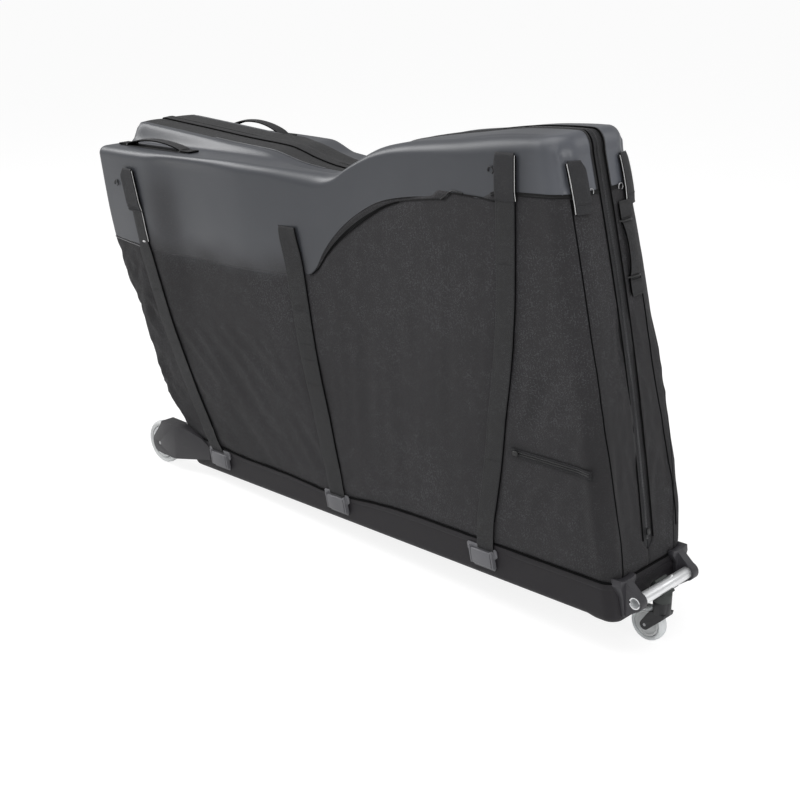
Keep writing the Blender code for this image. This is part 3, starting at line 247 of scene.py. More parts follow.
# Shader building
def linear(red, green, blue):     # a colour as it is read off a screen, 0 to 255
    def one(v):
        v = v / 255
        return v / 12.92 if v <= 0.04045 else ((v + 0.055) / 1.055) ** 2.4
    return one(red), one(green), one(blue), 1.0


def join(tree, socket, value):
    if isinstance(value, bpy.types.NodeSocket):
        tree.links.new(value, socket)
    else:
        socket.default_value = value


def put(tree, kind, settings=None, **inputs):
    node = tree.nodes.new("ShaderNode" + kind)
    for name, value in (settings or {}).items():
        setattr(node, name, value)
    for name, value in inputs.items():
        join(tree, node.inputs[name.replace("_", " ")], value)
    return node


def calc(tree, operation, *values):
    node = put(tree, "Math", dict(operation=operation))
    for i, value in enumerate(values):
        join(tree, node.inputs[i], value)
    return node.outputs[0]


def times(tree, *values):
    return calc(tree, 'MULTIPLY', *values)


def plus(tree, *values):
    return calc(tree, 'ADD', *values)


def ramp(tree, value, low, high, first=0.0, last=1.0):
    node = put(tree, "MapRange", dict(clamp=True), Value=value, From_Min=low, From_Max=high,
               To_Min=first, To_Max=last)
    return node.outputs[0]


def blendColor(tree, share, first, second, way='MIX'):
    node = put(tree, "Mix", dict(data_type='RGBA', blend_type=way))
    for index, value in ((0, share), (6, first), (7, second)):
        join(tree, node.inputs[index], value)
    return node.outputs[2]


def newGroup(name, inputs, outputs):
    group = bpy.data.node_groups.new(name, 'ShaderNodeTree')
    for label, kind, value in inputs:
        socket = group.interface.new_socket(label, in_out='INPUT', socket_type="NodeSocket" + kind)
        if value is not None:
            socket.default_value = value
    for label in outputs:
        group.interface.new_socket(label, in_out='OUTPUT', socket_type="NodeSocketFloat")
    return group, group.nodes.new("NodeGroupInput").outputs, group.nodes.new("NodeGroupOutput").inputs


def noiseAt(tree, place, scale, detail):
    return put(tree, "TexNoise", Vector=place, Scale=scale, Detail=detail).outputs[0]


def makeWeaveGroup():
    # threads over and under each other on a flat map in metres, with a few that catch the light
    tree, given, out = newGroup("wovenThreads", [("Place", "Vector", None), ("Pitch", "Float", 0.002),
                                                 ("Unevenness", "Float", 0.25), ("Bright", "Float", 0.2)],
                                ["Height", "Dots", "Lines"])
    wander = noiseAt(tree, given["Place"], 70.0, 2.0)
    offset = times(tree, calc(tree, 'SUBTRACT', wander, 0.5), given["Unevenness"])
    parts = put(tree, "SeparateXYZ", Vector=given["Place"]).outputs
    across, up = [plus(tree, calc(tree, 'DIVIDE', parts[i], given["Pitch"]), offset) for i in (0, 1)]
    warp, weft = [calc(tree, 'ABSOLUTE', calc(tree, 'SINE', times(tree, way, math.pi)))
                  for way in (across, up)]
    cellX, cellY = [calc(tree, 'FLOOR', way) for way in (across, up)]
    odd = calc(tree, 'FLOORED_MODULO', plus(tree, cellX, cellY), 2.0)
    over = times(tree, odd, calc(tree, 'POWER', warp, 0.6))
    under = times(tree, calc(tree, 'SUBTRACT', 1.0, odd), calc(tree, 'POWER', weft, 0.6))
    join(tree, out["Height"], plus(tree, over, under))
    cell = put(tree, "CombineXYZ", X=cellX, Y=cellY).outputs[0]
    luck = put(tree, "TexWhiteNoise", Vector=cell).outputs["Value"]
    chosen = calc(tree, 'LESS_THAN', luck, given["Bright"])
    dot = ramp(tree, times(tree, warp, weft), 0.30, 0.75)
    join(tree, out["Dots"], times(tree, dot, chosen))
    stripes = calc(tree, 'SINE', times(tree, across, math.pi * 0.75))
    join(tree, out["Lines"], ramp(tree, stripes, -0.2, 1.0))
    return tree


def makeToneGroup():
    # slow and quick changes of tone, as in cloth that has been handled
    tree, given, out = newGroup("unevenTone", [("Place", "Vector", None), ("Broad", "Float", 4.0),
                                               ("Fine", "Float", 45.0), ("Strength", "Float", 0.4)],
                                ["Tone", "Patch"])
    broad = noiseAt(tree, given["Place"], given["Broad"], 4.0)
    fine = noiseAt(tree, given["Place"], given["Fine"], 3.0)
    total = plus(tree, times(tree, broad, 0.6), times(tree, fine, 0.4))
    swing = times(tree, calc(tree, 'SUBTRACT', total, 0.5), given["Strength"])
    join(tree, out["Tone"], plus(tree, swing, 1.0))
    join(tree, out["Patch"], ramp(tree, total, 0.44, 0.62))
    return tree


def makeGrainGroup():
    # fine moulded grain, rubbed spots, and a few long scuffs
    tree, given, out = newGroup("mouldedGrain", [("Place", "Vector", None), ("Grain", "Float", 900.0),
                                                 ("Rubbing", "Float", 7.0)], ["Height", "Rub", "Scuff"])
    pits = put(tree, "TexVoronoi", Vector=given["Place"], Scale=given["Grain"]).outputs["Distance"]
    rubs = noiseAt(tree, given["Place"], given["Rubbing"], 5.0)
    long = put(tree, "Mapping", Vector=given["Place"], Scale=(9.0, 9.0, 70.0), Rotation=(0.3, 0.5, 0.2))
    lines = noiseAt(tree, long.outputs[0], 3.0, 6.0)
    join(tree, out["Height"], pits)
    join(tree, out["Rub"], ramp(tree, rubs, 0.35, 0.7))
    join(tree, out["Scuff"], ramp(tree, lines, 0.66, 0.74))
    return tree


weaveGroup, toneGroup, grainGroup = makeWeaveGroup(), makeToneGroup(), makeGrainGroup()


def useGroup(tree, group, **given):
    node = tree.nodes.new("ShaderNodeGroup")
    node.node_tree = group
    for name, value in given.items():
        join(tree, node.inputs[name], value)
    return node.outputs


def freshMaterial(name):
    material = bpy.data.materials.new(name)
    material.use_nodes = True
    return material, material.node_tree, material.node_tree.nodes["Principled BSDF"]


def setShader(shader, **values):
    for name, value in values.items():
        shader.inputs[name.replace("_", " ")].default_value = value


def finishShader(tree, shader, color, roughness, height, depth, strength=0.6):
    raised = put(tree, "Bump", Height=height, Distance=depth, Strength=strength)
    join(tree, shader.inputs["Base Color"], color)
    join(tree, shader.inputs["Roughness"], roughness)
    join(tree, shader.inputs["Normal"], raised.outputs[0])


def scaled(tree, color, factor):
    node = put(tree, "VectorMath", dict(operation='SCALE'))
    join(tree, node.inputs[0], color)
    join(tree, node.inputs["Scale"], factor)
    return node.outputs[0]


# Painted light along the bag, from one x to another and from one factor to another: painted shade on the
# cloth towards its ends, a painted highlight on the shell towards its front
shades = dict(clothRear=(-0.35, -0.08, 0.78, 1.0), clothFront=(0.55, 0.60, 1.0, 0.82),
              shellFront=(0.42, 0.54, 1.0, 2.4))


def shade(tree, place, which):
    return ramp(tree, put(tree, "SeparateXYZ", Vector=place).outputs[0], *shades[which])


# painted shade: the cloth darkens towards the rear, and more at the front face
def paintedEndShade(tree, place):     # the cloth is a little darker towards both ends
    return times(tree, shade(tree, place, "clothRear"), shade(tree, place, "clothFront"))


def clothMaterial(name, color, thread, pitch, dots=0.30, lines=0.10, roughness=0.70, sheen=0.05,
                  depth=0.0005, uneven=0.35, moulded=None):
    # woven cloth laid on the piece's own flat map, which is in metres
    material, tree, shader = freshMaterial(name)
    flat = put(tree, "UVMap", dict(uv_map="cloth")).outputs[0]
    solid = put(tree, "TexCoord").outputs["Object"]
    threads = useGroup(tree, weaveGroup, Place=flat, Pitch=pitch, Bright=dots)
    tone = useGroup(tree, toneGroup, Place=solid, Strength=uneven)
    lit = times(tree, threads["Dots"], plus(tree, tone["Patch"], 0.25))
    streak = times(tree, threads["Lines"], times(tree, tone["Patch"], lines))
    woven = blendColor(tree, calc(tree, 'MINIMUM', plus(tree, lit, streak), 1.0), linear(*color),
                       linear(*thread))
    toned = scaled(tree, woven, tone["Tone"])
    if moulded:     # goes over into the moulding where it is painted so
        soft = put(tree, "Attribute", dict(attribute_name="soft")).outputs["Fac"]
        # the cloth share takes the painted shade towards the ends
        toned = blendColor(tree, soft, moulded, scaled(tree, toned, paintedEndShade(tree, solid)))
    rough = ramp(tree, threads["Height"], 0.0, 1.0, roughness + 0.1, roughness - 0.05)
    raised = threads["Height"]
    if moulded:
        rough = ramp(tree, soft, 0.0, 1.0, 0.40, rough)
        raised = times(tree, raised, soft)
    finishShader(tree, shader, toned, rough, raised, depth)
    setShader(shader, Sheen_Weight=sheen, Sheen_Roughness=0.4, Specular_IOR_Level=0.36 if moulded else 0.25)
    return material


def plasticMaterial(name, color, rubbed, roughness, grain=900.0, depth=0.0002, spread=0.12, shine=0.5):
    material, tree, shader = freshMaterial(name)
    place = put(tree, "TexCoord").outputs["Object"]
    grains = useGroup(tree, grainGroup, Place=place, Grain=grain)
    rubbed = linear(*rubbed)
    scuffed = tuple(min(c * 1.6 + 0.01, 1.0) for c in rubbed[:3]) + (1.0,)
    tone = blendColor(tree, grains["Rub"], linear(*color), rubbed)
    worn = blendColor(tree, times(tree, grains["Scuff"], 0.25), tone, scuffed)
    rough = ramp(tree, grains["Rub"], 0.0, 1.0, roughness + spread / 2, roughness - spread / 2)
    finishShader(tree, shader, worn, rough, grains["Height"], depth, 0.5)
    setShader(shader, Specular_IOR_Level=shine)
    return material


def metalMaterial(name, color, roughness, across, bare=1.0):
    # turned or drawn metal, its fine lines running along one way
    material, tree, shader = freshMaterial(name)
    place = put(tree, "TexCoord").outputs["Object"]
    stretched = put(tree, "Mapping", Vector=place, Scale=across).outputs[0]
    lines, smear = noiseAt(tree, stretched, 40.0, 4.0), noiseAt(tree, place, 30.0, 3.0)
    rough = plus(tree, ramp(tree, lines, 0.3, 0.7, roughness - 0.06, roughness + 0.08),
                 ramp(tree, smear, 0.4, 0.7, 0.0, 0.06))
    dull = blendColor(tree, smear, color, tuple(c * 0.82 for c in color[:3]) + (1.0,))
    finishShader(tree, shader, dull, rough, lines, 0.00005, 0.4)
    setShader(shader, Metallic=bare)
    return material


shellTone = linear(59, 61, 66)


def shellMaterial():
    # satin moulding that goes over into the cloth where its lower edge is painted soft; the soft share also
    # carries a painted shade down the hollow behind the wide end, and a painted highlight lightens the front
    material, tree, shader = freshMaterial("shellPlastic")
    place = put(tree, "TexCoord").outputs["Object"]
    flat = put(tree, "UVMap", dict(uv_map="cloth")).outputs[0]
    grains = useGroup(tree, grainGroup, Place=place, Grain=700.0, Rubbing=5.0)
    tone = blendColor(tree, grains["Rub"], shellTone, linear(65, 67, 72))
    worn = blendColor(tree, times(tree, grains["Scuff"], 0.06), tone, linear(100, 102, 106))
    # the soft share is cloth where the edge fades, and painted shade in the hollow behind the wide end
    soft = put(tree, "Attribute", dict(attribute_name="soft")).outputs["Fac"]
    threads = useGroup(tree, weaveGroup, Place=flat, Pitch=0.0023, Bright=0.25)
    speck = blendColor(tree, times(tree, threads["Dots"], 0.7), linear(48, 47, 49),
                       linear(74, 74, 77))
    # painted highlight: the shell grows lighter towards its front, up to 2.4 times
    pale = scaled(tree, worn, shade(tree, place, "shellFront"))
    color = blendColor(tree, soft, pale, scaled(tree, speck, paintedEndShade(tree, place)))
    rough = plus(tree, ramp(tree, grains["Rub"], 0.0, 1.0, 0.43, 0.37),
                 times(tree, soft, 0.42))
    finishShader(tree, shader, color, rough, grains["Height"], 0.00012, 0.5)
    setShader(shader, Specular_IOR_Level=0.58)
    return material


# Everything is painted from here, by key; colours are as read off a screen, the plain one and the
# one of its bright threads or rubbed spots
paint = dict(
    panel=clothMaterial("panelCloth", (42, 41, 43), (70, 70, 73), 0.0023, lines=0.16, roughness=0.8,
                        moulded=shellTone),
    strip=clothMaterial("stripCloth", (41, 41, 42), (60, 60, 62), 0.0016, roughness=0.72),
    lining=clothMaterial("liningCloth", (34, 34, 37), (54, 54, 58), 0.0016, lines=0.2, roughness=0.75),
    webbing=clothMaterial("webbingCloth", (44, 44, 45), (62, 62, 64), 0.0021, 0.35, 0.1, 0.7, 0.04, 0.0006,
                          0.25),
    tab=clothMaterial("tabCloth", (46, 46, 48), (64, 64, 66), 0.0019, 0.35, 0.1, 0.7, 0.04, 0.0006, 0.25),
    # black trims, also laid as painted shadow under the shell's edge and under the carry handle
    trim=clothMaterial("trimCloth", (15, 15, 16), (34, 34, 36), 0.0018, sheen=0.0),
    tape=clothMaterial("zipTapeCloth", (40, 40, 42), (60, 60, 62), 0.0012),
    band=clothMaterial("bandCloth", (33, 31, 34), (42, 40, 43), 0.0009, 0.3, 0.05, 0.52, 0.02, 0.00015,
                       0.25),
    shell=shellMaterial(),
    buckle=plasticMaterial("bucklePlastic", (90, 90, 93), (104, 104, 108), 0.42),
    bracket=plasticMaterial("bracketPlastic", (46, 45, 49), (56, 55, 59), 0.45),
    housing=plasticMaterial("housingPlastic", (39, 38, 41), (48, 47, 50), 0.5, 1100.0, 0.0003),
    clip=plasticMaterial("clipPlastic", (40, 44, 42), (52, 56, 54), 0.45),
    fork=plasticMaterial("forkPlastic", (24, 24, 26), (38, 38, 41), 0.42),
    dark=plasticMaterial("darkPlastic", (12, 12, 13), (22, 22, 24), 0.4),
    hub=plasticMaterial("hubPlastic", (222, 224, 224), (210, 212, 213), 0.38),
    tread=plasticMaterial("treadRubber", (224, 227, 228), (210, 214, 215), 0.5),
    paleTread=plasticMaterial("paleTread", (214, 216, 216), (202, 204, 204), 0.5),
    teeth=plasticMaterial("zipTeeth", (58, 58, 60), (92, 92, 95), 0.35),
    board=plasticMaterial("baseBoard", (52, 52, 54), (62, 62, 64), 0.6),
    thread=plasticMaterial("darkThread", (18, 18, 20), (28, 28, 30), 0.6),
    # black of seams, stitches and zip edges, and of painted shadow in the gaps under straps, tabs, handles,
    # strips and at the band
    line=plasticMaterial("seamLine", (3, 3, 4), (6, 6, 7), 0.8, 900.0, 0.0001, 0.1, 0.1),
    paleThread=plasticMaterial("paleThread", (150, 150, 152), (170, 170, 172), 0.5),
    # pale: painted highlight cords along the tabs' edges, and the strap rivets
    cord=plasticMaterial("edgeCord", (190, 190, 190), (210, 210, 210), 0.4),
    piping=plasticMaterial("stripPiping", (84, 85, 88), (100, 101, 104), 0.4),
    foam=plasticMaterial("foamCover", (60, 60, 64), (70, 70, 74), 0.85, 400.0, 0.0004),
    rod=plasticMaterial("glassRod", (140, 142, 130), (126, 128, 118), 0.4),
    bar=metalMaterial("drawnAluminium", (0.97, 0.98, 0.99, 1.0), 0.34, (40.0, 1.0, 40.0), 0.72),
    steel=metalMaterial("screwSteel", (0.42, 0.42, 0.43, 1.0), 0.38, (30.0, 1.0, 30.0)))
print("materials made:", len(bpy.data.materials))


# Pieces from curved sheets
heart = toWorld((-0.05, 0.0, 0.42))     # a point well inside the bag


def addObject(name, data):
    obj = bpy.data.objects.new(name, data)
    bpy.context.scene.collection.objects.link(obj)
    return obj


def makeActive(obj):
    bpy.ops.object.select_all(action='DESELECT')
    obj.select_set(True)
    bpy.context.view_layer.objects.active = obj


def applyModifiers(obj):
    makeActive(obj)
    for modifier in list(obj.modifiers):
        bpy.ops.object.modifier_apply(modifier=modifier.name)


def newPiece(name, work, materials):
    mesh = bpy.data.meshes.new(name)
    work.to_mesh(mesh)
    work.free()
    for material in materials:
        mesh.materials.append(paint[material])
    return addObject(name, mesh)


def label(obj, slot, replaced):
    if replaced:
        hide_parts(*replaced)
    return obj


def carry(obj, body, slot, *replaced):
    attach(obj, body)
    return label(obj, slot, replaced)


def bendAtFold(obj, side, slot, *replaced):
    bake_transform(obj)
    return label(obj, slot, replaced)


def gridNormals(grid):
    normal = np.cross(np.gradient(grid, axis=0), np.gradient(grid, axis=1))     # outwards
    return normal / np.maximum(np.linalg.norm(normal, axis=2, keepdims=True), 1e-9)


def runAlong(path):     # metres travelled at each point
    return np.concatenate([[0.0], np.cumsum(np.linalg.norm(np.diff(path, axis=0), axis=1))])


def flatMap(grid):
    # metres along the middle row and up each column, so that a weave keeps its scale
    rises = np.linalg.norm(np.diff(grid, axis=0), axis=2)
    up = np.concatenate([np.zeros((1, grid.shape[1])), np.cumsum(rises, axis=0)])
    return np.stack([np.broadcast_to(runAlong(grid[len(grid) // 2]), up.shape), up], axis=2)


def sheetPiece(name, grid, side, wall, materials, closed=False, outward=False, cap=False, soft=None,
               paintedShadowRim=False):
    # grid holds rows of points for the far half; side turns them to the half that is wanted
    grid = np.array(grid)
    rows, wide = grid.shape[:2]
    flat = flatMap(grid)
    work = bmesh.new()
    uvLayer = work.loops.layers.uv.new("cloth")
    softLayer = work.verts.layers.float.new("soft") if soft is not None else None
    verts = [[work.verts.new(toWorld(point, side)) for point in row] for row in grid]
    if soft is not None:
        for r in range(rows):
            for c in range(wide):
                verts[r][c][softLayer] = soft[r][c]
    for r in range(rows - 1):
        for c in range(wide if closed else wide - 1):
            d = (c + 1) % wide
            spots = [(r, c), (r, d), (r + 1, d), (r + 1, c)]
            face = work.faces.new([verts[i][j] for i, j in spots])
            face.smooth = True
            for loop, (i, j) in zip(face.loops, spots):
                loop[uvLayer].uv = flat[i][j]
    if cap:
        work.faces.new(list(reversed(verts[0])))
    if cap == "both":
        work.faces.new(verts[-1])
    work.normal_update()
    if sum(face.normal.dot(face.calc_center_median() - heart) for face in work.faces) < 0:
        bmesh.ops.reverse_faces(work, faces=work.faces[:])
    obj = newPiece(name, work, materials)
    if wall:
        solid = obj.modifiers.new("wall", 'SOLIDIFY')
        solid.thickness = wall
        solid.offset = 1.0 if outward else -1.0
        solid.material_offset = len(materials) - 1
        # on ribbons the rim takes the last, black material as painted shadow
        solid.material_offset_rim = len(materials) - 1 if paintedShadowRim else 0
        applyModifiers(obj)
    return obj


def ribbonPiece(name, side, spotAt, alongs, acrosses, thick, material, slot="webbing", replaced=(),
                bends=False):
    # a flat band laid through spotAt(along, across), its rim and underside black as painted shadow
    rows = [[spotAt(along, across)[0] for across in acrosses] for along in alongs]
    obj = sheetPiece(name, rows, side, thick, [material, "line"], outward=True, paintedShadowRim=True)
    if bends:
        return bendAtFold(obj, side, slot, *replaced)
    return carry(obj, halfOf[side], slot, *replaced)


def tubePiece(name, side, slot, points, radius, material="line", body=None, sides=2, bends=False):
    # a thin bead or cord through points of one half
    curve = bpy.data.curves.new(name, 'CURVE')
    curve.dimensions = '3D'
    curve.bevel_depth = radius
    curve.bevel_resolution = sides - 1
    curve.use_fill_caps = True
    spline = curve.splines.new('POLY')
    spline.points.add(len(points) - 1)
    for spot, point in zip(spline.points, points):
        spot.co = (*toWorld(point, side), 1.0)
    drawn = addObject(name + "Curve", curve)
    mesh = bpy.data.meshes.new_from_object(drawn.evaluated_get(bpy.context.evaluated_depsgraph_get()))
    bpy.data.objects.remove(drawn)
    mesh.materials.clear()
    mesh.materials.append(paint[material])
    mesh.shade_smooth()
    obj = addObject(name, mesh)
    return bendAtFold(obj, side, slot) if bends else carry(obj, body or halfOf[side], slot)


def boxesPiece(name, verts, material, body, slot, turned=False):
    # small boxes in one mesh, eight corners each, the lower four first
    faces = ((4, 5, 6, 7), (3, 2, 1, 0), (0, 1, 5, 4), (1, 2, 6, 5), (2, 3, 7, 6), (3, 0, 4, 7))
    if turned:
        faces = [face[::-1] for face in faces]
    mesh = bpy.data.meshes.new(name)
    mesh.from_pydata(verts, [], [[first + i for i in face] for first in range(0, len(verts), 8)
                                 for face in faces])
    mesh.materials.append(paint[material])
    return carry(addObject(name, mesh), body, slot)


# The three straps' lines down the side, their middles by height
straps = dict(
    names=("rear", "middle", "front"), topZ=(0.680, 0.606, 0.782), lift=0.0022, thick=0.0020,
    buckleTopZ=0.056, edgeSink=0.0012, ripple=0.0004, letIn=0.0034, letInRise=0.0028,
    tacks=((0.300, 0.420), (0.449, 0.441, 0.340, 0.289, 0.400, 0.372), (0.240, 0.60)),
    lineRadius=(0.0010, 0.0010, 0.0008),
    lines=(smoothCurve([(0.058, -0.430), (0.075, -0.444), (0.10, -0.458), (0.14, -0.471), (0.20, -0.489),
                        (0.26, -0.504), (0.34, -0.524), (0.435, -0.540), (0.52, -0.552), (0.62, -0.558),
                        (0.69, -0.564)]),
           smoothCurve([(0.058, -0.0405), (0.10, -0.0480), (0.16, -0.0575), (0.23, -0.0670), (0.30, -0.0785),
                        (0.38, -0.0890), (0.466, -0.0970), (0.53, -0.1035), (0.609, -0.118)]),
           smoothCurve([(0.058, 0.3580), (0.106, 0.3600), (0.156, 0.3682), (0.213, 0.3786), (0.268, 0.3864),
                        (0.315, 0.3916), (0.394, 0.4026), (0.473, 0.4100), (0.55, 0.4130), (0.624, 0.4120),
                        (0.782, 0.4080)])),
    widths=(smoothCurve([(0.0, 0.042), (0.50, 0.042), (0.53, 0.033), (0.70, 0.033)]),
            smoothCurve([(0.0, 0.046), (0.61, 0.046)]),
            smoothCurve([(0.0, 0.040), (0.79, 0.040)])))


def underStrap(x, z):
    pressed = 0.0
    for line, width, top in zip(straps["lines"], straps["widths"], straps["topZ"]):
        if z < top + 0.02:
            reach = width(z) / 2
            pressed = max(pressed, between(x, line(z) - reach, line(z) + reach, 0.022))
    return pressed


# How far the cloth and the moulding stand off the drawn surface
def waves(u, v, seed):
    return noise.noise(Vector((u, v, seed)))


def ridged(u, v, seed):     # sharp-crested folds, -1 to 1
    return 1 - 4 * abs(waves(u, v, seed))


def roundTheEnd(x, y, z):     # metres along the wall, going on round the corners
    return x + math.copysign(max(halfWidth(x, z) - abs(y), 0.0), x)


form = dict(hollow=0.0125, startX=-0.512, deepX=-0.425, endX=-0.225, swell=0.0015,
            fadeX=(-0.556, -0.072, 0.022), fadeBelow=0.026, bead=0.0022, beadTurn=42,
            beadZ=(0.725, 0.795, 0.012), chamfer=0.0022, chamferZ=(0.735, 0.795, 0.02))


def hollowPush(x, y, z):
    # the side falls in behind the wide end, from the shoulder down into the cloth
    side = ease((abs(y) / halfWidth(x, z) - 0.90) / 0.08)
    high = ease((z - 0.25) / 0.24) * ease((0.715 - z) / 0.05 + 0.5)
    inward = ease((x - form["startX"]) / (form["deepX"] - form["startX"]))
    back = 1 - ease((x - form["deepX"]) / (form["endX"] - form["deepX"]))
    return side * high * (form["swell"] * hill(x, -0.20, 0.08) - form["hollow"] * inward * back)


def fading(x):     # where the moulding goes over into the cloth without a hem
    return between(x, *form["fadeX"])


def clothShare(x, z):
    # 1 where the fading stretch is bare cloth, 0 where it is moulded
    reach = mix(0.115, 0.062, ease((x + 0.54) / 0.20))
    cloudy = 0.016 * waves(x / 0.06, z / 0.06, 2.2)
    above = z - shellEdgeZ(x) + form["fadeBelow"] + cloudy
    return 1 - ease(above / (reach + form["fadeBelow"]))


def fold(height, run, z, slant, width, seed, held=True):
    return dict(height=height, run=run, z=z, slant=slant, width=width, seed=seed, held=held)


# Where each set of folds lies along the wall and up it (low, high, softness), how it slants, how wide
# and long its folds are, and whether it dies out where the cloth is held at its seams
anyHeight = (-1.0, 2.0, 1.0)
rearCorner = dict(run=(-0.90, -0.545, 0.05), z=(0.13, 0.51, 0.06))
frontEnd = dict(run=(0.655, 0.95, 0.03), z=anyHeight)
folds = (fold(0.0034, slant=(0.5, -0.4), width=(0.050, 0.095), seed=1.7, **rearCorner),
         fold(0.00144, slant=(-0.3, 0.0), width=(0.021, 0.060), seed=7.7, held=False, **rearCorner),
         fold(0.0015, (-0.52, -0.06, 0.10), (0.06, 0.36, 0.12), (0.9, -0.9), (0.055, 0.22), 9.3, False),
         fold(0.0007, (-0.04, 0.40, 0.08), anyHeight, (0.0, 0.0), (0.035, 0.30), 4.4),
         fold(0.0017, (0.40, 0.63, 0.05), (0.07, 0.46, 0.10), (-0.6, 0.5), (0.060, 0.085), 6.1),
         fold(0.0016, slant=(0.2, 0.0), width=(0.026, 0.10), seed=2.9, **frontEnd))
slack = dict(broad=0.0030, fine=0.0004, gathers=0.0006, rearBulge=0.0040, archDip=0.0020, footDip=0.0028,
             cornerSwell=0.0050, pressed=0.85)


def inPlace(region, run, z):
    return between(run, *region["run"]) * between(z, *region["z"])


def clothPush(x, y, z):
    run = roundTheEnd(x, y, z)
    foot, head = seamZ(x), shellEdgeZ(x)
    free = math.sin(math.pi * clamp((z - foot) / (head - foot))) ** 0.5
    push = slack["broad"] * free * (0.2 + waves(run / 0.23 + 3.1, z / 0.20, 5.2))
    for each in folds:
        u = (run + each["slant"][0] * z) / each["width"][0]
        v = (z + each["slant"][1] * run) / each["width"][1]
        wave = ridged(u, v, each["seed"]) * (free if each["held"] else 1.0)
        push += each["height"] * inPlace(each, run, z) * wave
    fine = waves(run / 0.016, z / 0.028, 8.8)
    push += slack["fine"] * free * fine * (1 + 2 * inPlace(frontEnd, run, z) + inPlace(rearCorner, run, z))
    gathers = hill(z, foot, 0.03) + 0.6 * hill(z, head, 0.02) * (1 - fading(x))
    push += slack["gathers"] * gathers * waves(run / 0.011, z / 0.05, 0.7)
    push += slack["rearBulge"] * between(run, -0.80, -0.590, 0.05) * hill(z, 0.146, 0.036)
    push -= slack["archDip"] * between(x, -0.055, 0.20, 0.05) * hill(z, head, 0.009)
    push -= slack["footDip"] * hill(z, foot, 0.011)
    push *= 1 - between(x, 0.420, 0.606, 0.016) * between(z, 0.250, 0.282, 0.014)     # the pocket lies flat
    atCorner = between(run - frontX(z), -0.035, 0.030, 0.03) * between(z, 0.12, 0.47, 0.09)
    push += slack["cornerSwell"] * atCorner
    onSide = ease((abs(y) / halfWidth(x, z) - 0.93) / 0.05)
    return push * (1 - slack["pressed"] * onSide * underStrap(x, z)) + hollowPush(x, y, z)


def shellPush(x, y, z, turn=0.0):
    push = hollowPush(x, y, z)
    if turn:
        bead = hill(turn, form["beadTurn"], 4.0) * (1 + 0.6 * hill(z, 0.786, 0.008))
        push += form["bead"] * bead * between(z, *form["beadZ"])
        push -= form["chamfer"] * hill(turn, form["beadTurn"] + 16, 10.0) * between(z, *form["chamferZ"])
    return push


# Places on the bag, in the far half's terms, and the way each faces
def slopes(surface, u, v, step=0.002):
    return ((surface(u + step, v) - surface(u - step, v)) / (2 * step),
            (surface(u, v + step) - surface(u, v - step)) / (2 * step))


def wallSpot(x, z, lift=0.0):
    slopeX, slopeZ = slopes(halfWidth, x, z)
    way = Vector((-slopeX, 1.0, -slopeZ)).normalized()
    y = halfWidth(x, z)
    push = shellPush(x, y, z) if z > shellEdgeZ(x) else clothPush(x, y, z)
    return Vector((x, y, z)) + way * (push + lift), way


def facingSpot(x, y, z, way, lift):     # on the front face or its corner, where the shell is plain
    push = 0.0 if z > shellEdgeZ(x) else clothPush(x, y, z)
    return Vector((x, y, z)) + way * (push + lift), way


def frontSpot(y, z, lift=0.0):
    slopeY, slopeZ = slopes(frontFaceX, y, z)
    way = Vector((1.0, -slopeY, -slopeZ)).normalized()
    return facingSpot(frontFaceX(y, z), y, z, way, lift)


def cornerSpot(turn, z, lift=0.0):
    # on the rounded front corner, turn in degrees from the side wall
    radius, angle = cornerRadius(z, bag["frontCorner"]), math.radians(min(turn, 90))
    middleX = frontX(z) - radius
    middleY = halfWidth(middleX, z) - radius - math.radians(max(turn - 90, 0)) * radius
    way = Vector((math.sin(angle), math.cos(angle), 0.0))
    return facingSpot(middleX + radius * math.sin(angle), middleY + radius * math.cos(angle), z, way, lift)


def topSpot(x, y, lift=0.0):
    slopeX, slopeY = slopes(topZ, x, y)
    way = Vector((-slopeX, -slopeY, 1.0)).normalized()
    return Vector((x, y, topZ(x, y))) + way * lift, way


def raised(spots, lift):
    return [(place + way * lift, way) for place, way in spots]


def justPlaces(spots):
    return [place for place, way in spots]


# Sewing
stitch = dict(length=0.0034, gap=0.0018, width=0.0010, foot=(1.0, -0.0002), top=(0.65, 0.0006))
sewn = {}     # the stitches of each body and thread, in one mesh each


def sew(spots, side, body=None, thread="thread", length=stitch["length"]):
    # stitches along (place, way) spots of one half, a length and a gap at a time
    boxes = sewn.setdefault((body or halfOf[side], thread), [])
    places = [toWorld(place, side) for place, way in spots]
    ways = [toWorldWay(way, side).normalized() for place, way in spots]
    travelled, following = 0.0, length / 2
    for start, end, way in zip(places, places[1:], ways):
        run = (end - start).length
        while run > 0 and following < travelled + run:
            boxes.append((start.lerp(end, (following - travelled) / run), way, (end - start).normalized(),
                          length))
            following += length + stitch["gap"]
        travelled += run


def finishSewing():
    for (body, thread), boxes in sewn.items():
        verts = []
        for place, way, along, length in boxes:
            across = way.cross(along).normalized()
            for share, height in (stitch["foot"], stitch["top"]):
                for l, w in ((-1, -1), (1, -1), (1, 1), (-1, 1)):
                    verts.append(place + along * (l * length / 2 * share)
                                 + across * (w * stitch["width"] / 2 * share) + way * height)
        boxesPiece("stitches_" + thread + "_" + body, verts, thread, body, "webbing")
    print("stitches sewn:", sum(len(boxes) for boxes in sewn.values()))


# Side panels
panel = dict(wall=0.004, lowRows=6, bendRows=10, rows=84, openZ=0.100, openRun=0.018)
hair = 0.0004     # what is left between two edges that meet


def edgeX(column):     # where a column meets the shell's lower edge
    return wallPoint(column, bag["shellSideZ"])[0]


def panelHeights(foot, head):
    return (steps(foot + hair, bendLow, panel["lowRows"])[:-1]
            + steps(bendLow, bendHigh, panel["bendRows"])[:-1] + steps(bendHigh, head, panel["rows"]))


